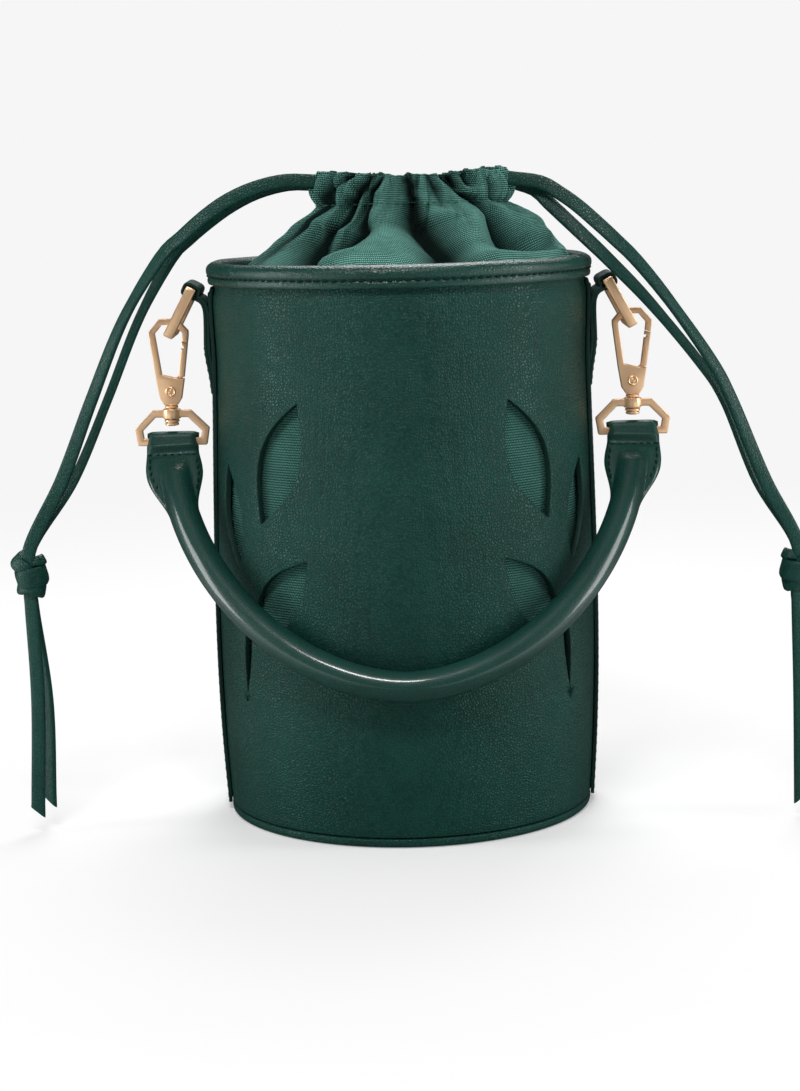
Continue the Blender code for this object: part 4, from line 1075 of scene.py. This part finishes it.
def tabPath():
    half = tab["layer"] / 2
    hole = tab["hole"] + half
    middle = Vector((tab["wallX"] + tab["layer"], tab["bend"]))
    loop = Vector((hardware["loopX"], hardware["loopZ"]))
    heading = (middle - loop).normalized()
    bendNormal = (Vector((-heading.y, heading.x)) + Vector((1, 0))).normalized()
    outer, inner = [], []
    for layer, shift in ((outer, half), (inner, -half)):
        layer += [Vector((middle.x + shift, z)) for z in (tab["foot"], (tab["foot"] + tab["bend"]) / 2)]
        layer.append(middle + bendNormal * shift)
    start, catch = atan2(heading.y, heading.x), asin(half / hole)
    wrap = []
    for turn in np.linspace(start + catch, start + 2 * pi - catch, tab["foldSteps"]):
        lengthwise = abs(sin(turn - hardware["tilt"])) / (hole - ring["thickness"] / 2 + ring["bar"] / 2)
        crosswise = abs(cos(turn - hardware["tilt"])) / hole
        reach = (lengthwise ** tab["square"] + crosswise ** tab["square"]) ** (-1 / tab["square"])
        wrap.append(loop + Vector((cos(turn), sin(turn))) * reach)
    if (wrap[0] - outer[-1]).length > (wrap[-1] - outer[-1]).length:
        wrap.reverse()
    return smoothRoute([Vector((p.x, 0, p.y)) for p in (*outer, *wrap, *reversed(inner))], tab["pitch"])


def tabMesh(name, sign):
    columns = [tab["width"] * (c / tab["columns"] - 0.5) for c in range(tab["columns"] + 1)]
    rows = []
    for point in tabPath():
        hug = 1 - ease(point.z, tab["bend"] - tab["hugLow"], tab["bend"] + tab["hugHigh"])
        away = (1 - hug) * point.x - tabLap(point.z)
        rows.append([(sign * (away + hug * sqrt(point.x ** 2 - y ** 2)), y, point.z) for y in columns])
    return gridMesh(name, rows)


def tabSewing(sign):
    half = tabSeam["half"]
    heights = [tab["foot"] + tabSeam["foot"] + tabSeam["pitch"] * i for i in range(tabSeam["count"])]
    spots = [(y, z, (0, 0, 1)) for y in (-half, half) for z in heights]
    for i in range(tabSeam["rowCount"]):
        y = -tabSeam["rowHalf"] + tabSeam["rowPitch"] * i
        spots += [(y, tab["foot"] + height, (0, 1, 0)) for height in tabSeam["rowHeights"]]
    face = tab["wallX"] + 2 * tab["layer"]
    seam = []
    for y, z, along in spots:
        x = sqrt(face ** 2 - y ** 2) - tabLap(z)
        seam.append(((sign * x, y, z), along, (sign, 0, 0)))
    return seam


def ringTab(sideName, sign):
    name = f"{sideName}RingTab"
    piece = linked(name, tabMesh(name, sign), leather, cutEdge)
    solidify(piece, tab["layer"], 0.0, 1)
    soften(piece, tab["softEdge"])
    dress(piece, "bag", "leather", f"{sideName}_ring_tab")
    stitches(f"{sideName}TabStitches", tabSewing(sign), "bag", length=tabSeam["length"],
             width=tabSeam["width"], sink=tabSeam["sink"])


def flatRing(sideName, sign):
    half, bar, long = ring["halfWidth"], ring["bar"], ring["length"]
    outside = (half + bar, bar / 2, ring["corner"])
    opening = (half, -bar / 2, ring["insideCorner"])
    outlines = []
    for wide, spare, corner in (outside, opening):
        corners = [(-wide, -spare - long), (wide, -spare - long), (wide, spare), (-wide, spare)]
        outlines.append(rounded(corners, corner))
    piece = plate(f"{sideName}Ring", outlines[0], ring["thickness"], outlines[1:], ring["edge"])
    lean = Matrix.Rotation(-sign * hardware["tilt"], 4, "Y") @ Euler((pi / 2, 0, pi / 2)).to_matrix().to_4x4()
    piece.data.transform(Matrix.Translation((sign * hardware["loopX"], 0, hardware["loopZ"])) @ lean)
    dress(smoothed(piece), f"{sideName}_ring", "gold", f"{sideName}_ring")


# Snap hook: a bent frame, and a gate whose tongue turns in the frame's slot and whose tip has a notch
hook = dict(top=0.179587, shoulder=0.157987, foot=0.148587, pivot=0.153487, nose=0.171487, thickness=0.0040,
            arm=0.0021, edge=0.0005, crotch=0.0015, waist=(0.0039, 0.0023), footHalf=0.0024, slot=0.0020,
            slotFloor=0.0012, slotReach=0.0080, tongue=0.0014, tongueArc=(0.7 * pi, 1.75 * pi),
            tongueSteps=24, eye=0.0022, gap=0.0003)
hookOuter = ((0.0033, 0.0), (0.0071, -0.0044), (0.0071, -0.0059), (0.0051, -0.0216))
notch = dict(radius=0.00062, half=0.003, steps=20, shift=0.0001, drop=0.0019)
# Outlines of the rivet's head, by radius and share of its height, and of the post, by radius and rise from
# the hook's foot or from the underside of the boss
rivet = dict(height=0.0008, steps=40, sharp=50)
rivetHead = ((0.00005, 0.80), (0.0006, 0.74), (0.00085, 0.50), (0.0011, 0.48), (0.00125, 0.80), (0.0015, 1.0),
             (0.00172, 0.85), (0.0019, 0.45), (0.0019, 0.0625), (0.0011, 0.0))
post = dict(radius=0.0012, steps=40, sharp=40)
postFlange = ((0.00005, 0.0009), (0.0012, 0.0009), (0.0012, -0.0002), (0.0022, -0.0003), (0.0024, -0.0005),
              (0.0024, -0.0009), (0.0022, -0.0011), (0.0012, -0.0011))
postHead = ((0.0012, -0.0003), (0.0025, -0.0003), (0.0027, -0.0005), (0.0027, -0.0010), (0.0025, -0.0012),
            (0.0018, -0.0012), (0.0018, -0.0015), (0.0023, -0.0015), (0.0025, -0.0017), (0.0025, -0.0021),
            (0.0022, -0.0024), (0.0012, -0.0026), (0.00005, -0.0027))
dring = dict(bar=0.0026, thickness=0.0030, edge=0.0005, topZ=0.145387, corner=0.0006, insideCorner=0.0004,
             cornerSteps=3, bossRadius=0.0033, bossHeight=0.0036, bossSteps=48, bossSharp=30, bossGap=0.0003)
dringOuter = ((0.0069, 0.0013), (0.0135, -0.0053), (0.0125, -0.0115))
bossRound = ((0.0004, 0.0), (0.0001, 0.0002), (0.0, 0.0005))


def hookLoop():
    right = [(x, hook["top"] + drop) for x, drop in hookOuter]
    outer = [(-x, z) for x, z in reversed(right)] + right
    return outer, inset(outer, hook["arm"])


def gateEdge(line, radius):  # where an edge of the arm is this far from the pivot
    (x, z), (foot, shoulder) = line[-2:]
    slope = (foot - x) / (shoulder - z)
    start = x - slope * (z - hook["pivot"])
    lean = 1 + slope ** 2
    rise = (sqrt(lean * radius ** 2 - start ** 2) - slope * start) / lean
    return start + slope * rise, hook["pivot"] + rise


def noseRadius(inner):
    (x, z), (foot, shoulder) = inner[-2:]
    return hypot(x + (foot - x) * (hook["nose"] - z) / (shoulder - z), hook["nose"] - hook["pivot"])


def hookFrame(sideName, x):
    outer, inner = hookLoop()
    reach = noseRadius(inner)
    waistHalf, waistRise = hook["waist"]
    root = inner[-1][0]
    crotch = hook["shoulder"] + hook["crotch"]
    outline = [(hook["footHalf"], hook["foot"]), (waistHalf, hook["foot"] + waistRise), outer[-1],
               (root, hook["shoulder"]), (-root, crotch), *inner[1:-1], gateEdge(inner, reach),
               gateEdge(outer, reach), *reversed(outer[:-1]), (-waistHalf, hook["foot"] + waistRise),
               (-hook["footHalf"], hook["foot"])]
    piece = stood(plate(f"{sideName}HookFrame", outline, hook["thickness"], edge=hook["edge"]), x)
    left, right = -hook["eye"] - hook["gap"], hook["slotReach"]
    low, high = hook["foot"] + hook["slotFloor"], crotch + hook["arm"]
    pocket = [(left, low), (right, low), (right, high), (left, high)]
    carve(piece, stood(plate("pocket", pocket, hook["slot"]), x))
    dress(smoothed(piece), f"{sideName}_hook", "gold", f"{sideName}_hook_frame")


def hookGate(sideName, x):
    outer, inner = hookLoop()
    tip = noseRadius(inner) - hook["gap"]
    heel = hook["shoulder"] + 2 * hook["gap"]
    half, root = outer[-1][0], inner[-1][0]
    arm = [(half, heel), gateEdge(outer, tip), gateEdge(inner, tip), (root, heel)]
    gate = stood(plate(f"{sideName}Gate", arm, hook["thickness"], edge=hook["edge"]), x)
    lap = heel + hook["arm"] / 2
    shank = arc((0, hook["pivot"]), hook["eye"], *hook["tongueArc"], hook["tongueSteps"])
    shank += [(half - hook["edge"], heel), (half - hook["edge"], lap), (root + hook["edge"], lap)]
    carve(gate, stood(plate("tongue", shank, hook["tongue"]), x), "UNION")
    tipX, tipZ = gateEdge(inner, tip)
    cutter = pinMesh("notch", notch["radius"], notch["half"], notch["steps"], closed=False)
    place = Matrix.Translation((x + tipX + notch["shift"], 0, tipZ - notch["drop"]))
    cutter.transform(place @ Matrix.Rotation(pi / 2, 4, "X"))
    carve(gate, linked("notch", cutter, gold))
    dress(smoothed(gate), f"{sideName}_gate", "gold", f"{sideName}_gate")


def snapRivet(sideName, x):
    name = f"{sideName}GateRivet"
    upper = [(radius, hook["thickness"] / 2 + rivet["height"] * share) for radius, share in rivetHead]
    profile = upper + [(radius, -z) for radius, z in reversed(upper)]
    mesh = turnedMesh(name, profile, rivet["steps"], closed=False, sharp=rivet["sharp"])
    mesh.transform(Matrix.Translation((x, 0, hook["pivot"])) @ Matrix.Rotation(pi / 2, 4, "X"))
    dress(linked(name, mesh, gold), f"{sideName}_hook", "gold", f"{sideName}_gate_rivet")


def swivelPost(sideName, x):
    name = f"{sideName}SwivelPost"
    boss = dring["topZ"] - dring["bossHeight"] / 2
    profile = [(radius, hook["foot"] + rise) for radius, rise in postFlange]
    profile += [(radius, boss + rise) for radius, rise in postHead]
    mesh = turnedMesh(name, profile, post["steps"], closed=False, sharp=post["sharp"])
    mesh.transform(Matrix.Translation((x, 0, 0)))
    dress(linked(name, mesh, gold), f"{sideName}_hook", "gold", f"{sideName}_swivel_post")


def halfRing(sideName, x):
    right = [(across, dring["topZ"] + drop) for across, drop in dringOuter]
    outer = right + [(-across, z) for across, z in reversed(right)]
    inner = rounded(inset(outer, dring["bar"], True), dring["insideCorner"], dring["cornerSteps"])
    outer = rounded(outer, dring["corner"], dring["cornerSteps"])
    piece = stood(plate(f"{sideName}DRing", outer, dring["thickness"], [inner], dring["edge"]), x)
    tall, bore = dring["bossHeight"] / 2, post["radius"] + dring["bossGap"]
    lower = [(bore, -tall)] + [(dring["bossRadius"] - gap, rise - tall) for gap, rise in bossRound]
    profile = lower + [(radius, -z) for radius, z in reversed(lower)]
    bossMesh = turnedMesh("boss", profile, dring["bossSteps"], sharp=dring["bossSharp"])
    boreMesh = pinMesh("bore", bore, 2 * tall, dring["bossSteps"])
    for name, mesh, operation in (("bore", boreMesh, "DIFFERENCE"), ("boss", bossMesh, "UNION")):
        mesh.transform(Matrix.Translation((x, 0, dring["topZ"])))
        carve(piece, linked(name, mesh, gold), operation)
    dress(smoothed(piece), "bag", "gold", f"{sideName}_d_ring")


for sideName, sign in sides:
    ringTab(sideName, sign)
    flatRing(sideName, sign)
    for make in (hookFrame, hookGate, snapRivet, swivelPost, halfRing):
        make(sideName, sign * hardware["hookX"])
print("hooks and rings made")

# Rolled handle: flat folded ends that swell into a round roll
handle = dict(radius=0.0054, drop=0.1068, power=1.84, axisZ=0.135187, tilt=0.768081, tabHalf=0.0094,
              flare=0.0102, layer=0.0015, spare=0.00015, thinning=0.0006, loop=0.00379, loopFull=0.94,
              hole=0.00229, holeHalf=0.016, holeSteps=32, dense=4000, tabSteps=80, tabPitch=0.0005,
              trim=0.00002, steps=200, around=72, sharp=60, edgePower=8, rimPower=14, fillet=0.0011,
              filletLeast=1e-5, filletMost=0.0004, wrinkle=0.02, wrinkleScale=90, wrinkleStep=0.05)
# Where its form changes, as distances along it from the bar of the D-ring
marks = dict(stitch=0.0070, ridge=(0.0065, 0.0175), flare=(0.004, 0.013), narrow=(0.014, 0.034),
             thin=(0.012, 0.030), thick=(0.0042, 0.0060), fillet=(0.022, 0.034), flange=(0.026, 0.034),
             wrinkle=(0.02, 0.04))
handleSeam = dict(groove=0.00045, grooveWidth=0.0008, across=7, acrossPitch=0.0026, sink=0.0002, rows=5,
                  foot=0.0030, pitch=0.0028, inset=0.0016, snug=0.97, length=0.0021, width=0.00036)
handleLean = Matrix.Translation((0, 0, handle["axisZ"])) @ Matrix.Rotation(-handle["tilt"], 4, "X")


def handlePoint(turn):
    across = cos(turn)
    width = hardware["hookX"] * abs(across) ** (2 / handle["power"])
    drop = handle["drop"] * max(0.0, sin(turn)) ** (2 / handle["power"])
    return Vector((width if across > 0 else -width, 0.0, -drop))


def handleRoute():
    dense = [handlePoint(pi * i / handle["dense"]) for i in range(handle["dense"] + 1)]
    lengths = routeLengths(dense)
    total = float(lengths[-1])
    near = [handle["trim"] - handle["loop"] + handle["tabPitch"] * i for i in range(handle["tabSteps"])]
    far = np.linspace(near[-1], total / 2, handle["steps"] // 2 + 1)[1:]
    places = [*near, *far]
    places += [total - place for place in reversed(places[:-1])]
    route = []
    for place in places:
        if place < 0:
            point = dense[0] + Vector((0, 0, -place))
        elif place > total:
            point = dense[-1] + Vector((0, 0, place - total))
        else:
            point = Vector([float(np.interp(place, lengths, [p[k] for p in dense])) for k in range(3)])
        route.append((min(place, total - place), point))
    return route


def rollSection(mark):
    ridge = ease(mark, *marks["ridge"])
    wide = handle["tabHalf"] + (handle["flare"] - handle["tabHalf"]) * ease(mark, *marks["flare"])
    wide += (handle["radius"] - wide) * ease(mark, *marks["narrow"])
    flat = handle["layer"] + handle["spare"] - handle["thinning"] * ease(mark, *marks["thin"])
    if mark < 0:
        flat = sqrt(max(0.0, handle["loop"] ** 2 - mark ** 2))
    else:
        flat += (handle["loop"] * handle["loopFull"] - flat) * (1 - ease(mark, *marks["thick"]))
    groove = handleSeam["groove"] * exp(-((mark - marks["stitch"]) / handleSeam["grooveWidth"]) ** 2)
    return ridge, wide, flat - groove


def rollLift(mark, side, ridge, wide, flat):  # height of the roll above its middle plane
    share = abs(side) / wide
    flange = flat * sqrt(max(0.0, 1 - share ** handle["edgePower"]))
    body = sqrt(max(0.0, 1 - (side / handle["radius"]) ** 2)) * (handle["radius"] * ridge)
    fillet = handle["fillet"] * (1 - ease(mark, *marks["fillet"]))
    if fillet <= handle["filletLeast"]:
        return max(flange * (1 - ease(mark, *marks["flange"])), body)
    blend = fillet * max(0.0, 1 - abs(flange - body) / (2 * fillet)) ** 2 / 2
    lift = max(flange, body) + min(blend, handle["filletMost"])
    return lift * sqrt(max(0.0, 1 - share ** handle["rimPower"]))


def handleMesh(name):
    route = handleRoute()
    out = Vector((0, -1, 0))
    rows = []
    for i, (mark, point) in enumerate(route):
        before, after = route[max(0, i - 1)][1], route[min(len(route) - 1, i + 1)][1]
        across = out.cross((after - before).normalized()).normalized()
        section = rollSection(mark)
        worn = handle["wrinkle"] * ease(mark, *marks["wrinkle"])
        row = []
        for k, (c, s) in enumerate(circle(handle["around"], 0.5)):
            side = section[1] * c
            drift = Vector((0, k * handle["wrinkleStep"], 0))
            wrinkle = 1 + worn * noise.noise(point * handle["wrinkleScale"] + drift)
            lift = rollLift(mark, side, *section) * wrinkle * (1 if s > 0 else -1)
            row.append(handleLean @ (point + across * side + out * lift))
        rows.append(row)
    return gridMesh(name, rows, across=True, caps=True, sharp=handle["sharp"])


def handleSewing(sign):
    outFace = handleLean.to_3x3() @ Vector((0, -1, 0))
    downFace = handleLean.to_3x3() @ Vector((0, 0, -1))
    seam = []
    for face in (1, -1):
        for i in range(handleSeam["across"]):
            x = sign * hardware["hookX"] + handleSeam["acrossPitch"] * (i - handleSeam["across"] // 2)
            spot = Vector((x, -face * (handle["layer"] - handleSeam["sink"]), -marks["stitch"]))
            seam.append((handleLean @ spot, (1, 0, 0), outFace * face))
        for edge in (-1, 1):
            for i in range(handleSeam["rows"]):
                drop = marks["stitch"] + handleSeam["foot"] + handleSeam["pitch"] * i
                _, wide, flat = rollSection(drop)
                middle = handlePoint(asin((drop / handle["drop"]) ** (handle["power"] / 2))).x
                x = sign * middle + edge * (wide - handleSeam["inset"])
                spot = Vector((x, -face * (flat * handleSeam["snug"]), -drop))
                seam.append((handleLean @ spot, downFace, outFace * face))
    return seam


roll = linked("handle", handleMesh("handle"), rolled)
for _, sign in sides:
    bar = pinMesh("barHole", handle["hole"], handle["holeHalf"], handle["holeSteps"])
    place = Matrix.Translation((sign * hardware["hookX"], 0, handle["axisZ"]))
    bar.transform(place @ Matrix.Rotation(pi / 2, 4, "Y"))
    carve(roll, linked("barHole", bar, leather))
smoothed(roll, handle["sharp"])
dress(roll, "handle", "leather", "handle_sleeve", "left_handle_tab", "right_handle_tab")
for sideName, sign in sides:
    stitches(f"{sideName}HandleStitches", handleSewing(sign), "handle", length=handleSeam["length"],
             width=handleSeam["width"])
print("handle rolled")

# Stage: pale floor, soft light
# reflected and sideGlow are the floor's painted reflection: its glow as seen in glossy rays, away from the
# bag and beside it
stage = dict(shade=0.921, albedo=0.90, glow=0.66, near=0.42, far=0.95, ambient=0.26, mirrored=0.06,
             reflected=0.08, sideGlow=1.20, sideFrom=0.10, sideBack=0.20, sideFade=0.25, contact=0.072,
             contactGlow=0.45, grain=0.02, grainDetail=2.0, grainTone=0.01, rough=0.9, left=-6, right=6,
             front=-3, back=9, drop=0.0002)
# Each light's name, place, target, power and size
lamps = (
    ("keyLight", (-0.14, -0.85, 1.20), (0, 0, 0.12), 9.0, (0.42, 0.17)),
    ("topLight", (0.10, 0.50, 1.20), (0, 0, 0.12), 4.5, (0.34, 0.30)),
    ("leftStrip", (-1.05, -0.18, 0.30), (0, 0, 0.10), 6.8, (0.34, 0.80)),
    ("rightStrip", (1.05, -0.20, 0.36), (0, 0, 0.12), 6.3, (0.34, 0.80)),
    ("backLight", (0.10, 0.80, 1.00), (0, 0, 0.15), 6.0, (0.80, 0.30)),
)


def grey(level):
    return (level, level, level, 1)


def floorPaint():
    paint = Paint(bpy.data.materials.new("paleFloor"))
    where = paint.place()
    grain = paint.speckle(where, stage["grain"], stage["grainDetail"])
    paint.finish({
        "Base Color": paint.mix(grain, grey(stage["albedo"]), grey(stage["albedo"] + stage["grainTone"])),
        "Roughness": stage["rough"],
        "Specular IOR Level": 0.0,
    })
    shaded = Wire(paint, paint.tree.nodes["Principled BSDF"].outputs[0])
    x, y, _ = paint.parts(where)
    away = (x * x + y * y) ** 0.5
    fade = ((away - stage["near"]) / (stage["far"] - stage["near"])).limited()
    off = (away / stage["contact"] - 1).limited() * (1 - stage["contactGlow"]) + stage["contactGlow"]
    seen = paint.node("ShaderNodeLightPath")
    straight = (seen[0] + seen[6]).limited()
    share = straight * (stage["glow"] * off + fade * (1 - stage["glow"]))
    glow = paint.node("ShaderNodeEmission", None, {0: grey(stage["shade"])})[0]
    blend = paint.node("ShaderNodeMixShader", None, {0: share, 1: shaded, 2: glow})[0]
    # Glossy rays see the floor as a dim emission, and beside the bag as a glow brighter than white: a painted
    # reflection that lays a bright band low on the bag's sides
    beside = ((x.size() - stage["sideFrom"]) / stage["sideFade"]).limited()
    beside = beside * ((stage["sideBack"] - y) / stage["sideFade"]).limited()
    level = paint.mix(beside, grey(stage["reflected"]), grey(stage["sideGlow"]))
    reflectedFloorGlow = paint.node("ShaderNodeEmission", None, {0: level})[0]
    surface = paint.node("ShaderNodeMixShader", None, {0: seen[3], 1: blend, 2: reflectedFloorGlow})[0]
    return paint.finish({0: surface}, "Material Output")


def studioWorld(name):
    sky = Paint(bpy.data.worlds.new(name))
    seen = sky.node("ShaderNodeLightPath")
    level = (stage["ambient"] + (seen[0] + seen[6]) * (stage["shade"] - stage["ambient"])
             + seen[3] * (stage["mirrored"] - stage["ambient"]))
    return sky.finish({"Color": grey(1), "Strength": level}, "Background")


def softLamp(name, place, target, power, size):
    light = bpy.data.lights.new(name, "AREA")
    light.energy = power
    light.shape = "RECTANGLE"
    light.size, light.size_y = size
    holder = added(name, light)
    holder.location = place
    holder.rotation_euler = (Vector(target) - Vector(place)).to_track_quat("-Z", "Y").to_euler()


left, right, front, back, low = stage["left"], stage["right"], stage["front"], stage["back"], -stage["drop"]
floorCorners = [(left, front, low), (right, front, low), (right, back, low), (left, back, low)]
floorMesh = meshOf("floor", floorCorners, [(0, 1, 2, 3)], outward=False)
linked("floor", floorMesh, floorPaint())
bpy.context.scene.world = studioWorld("studio")
for lamp in lamps:
    softLamp(*lamp)
print("stage lit")
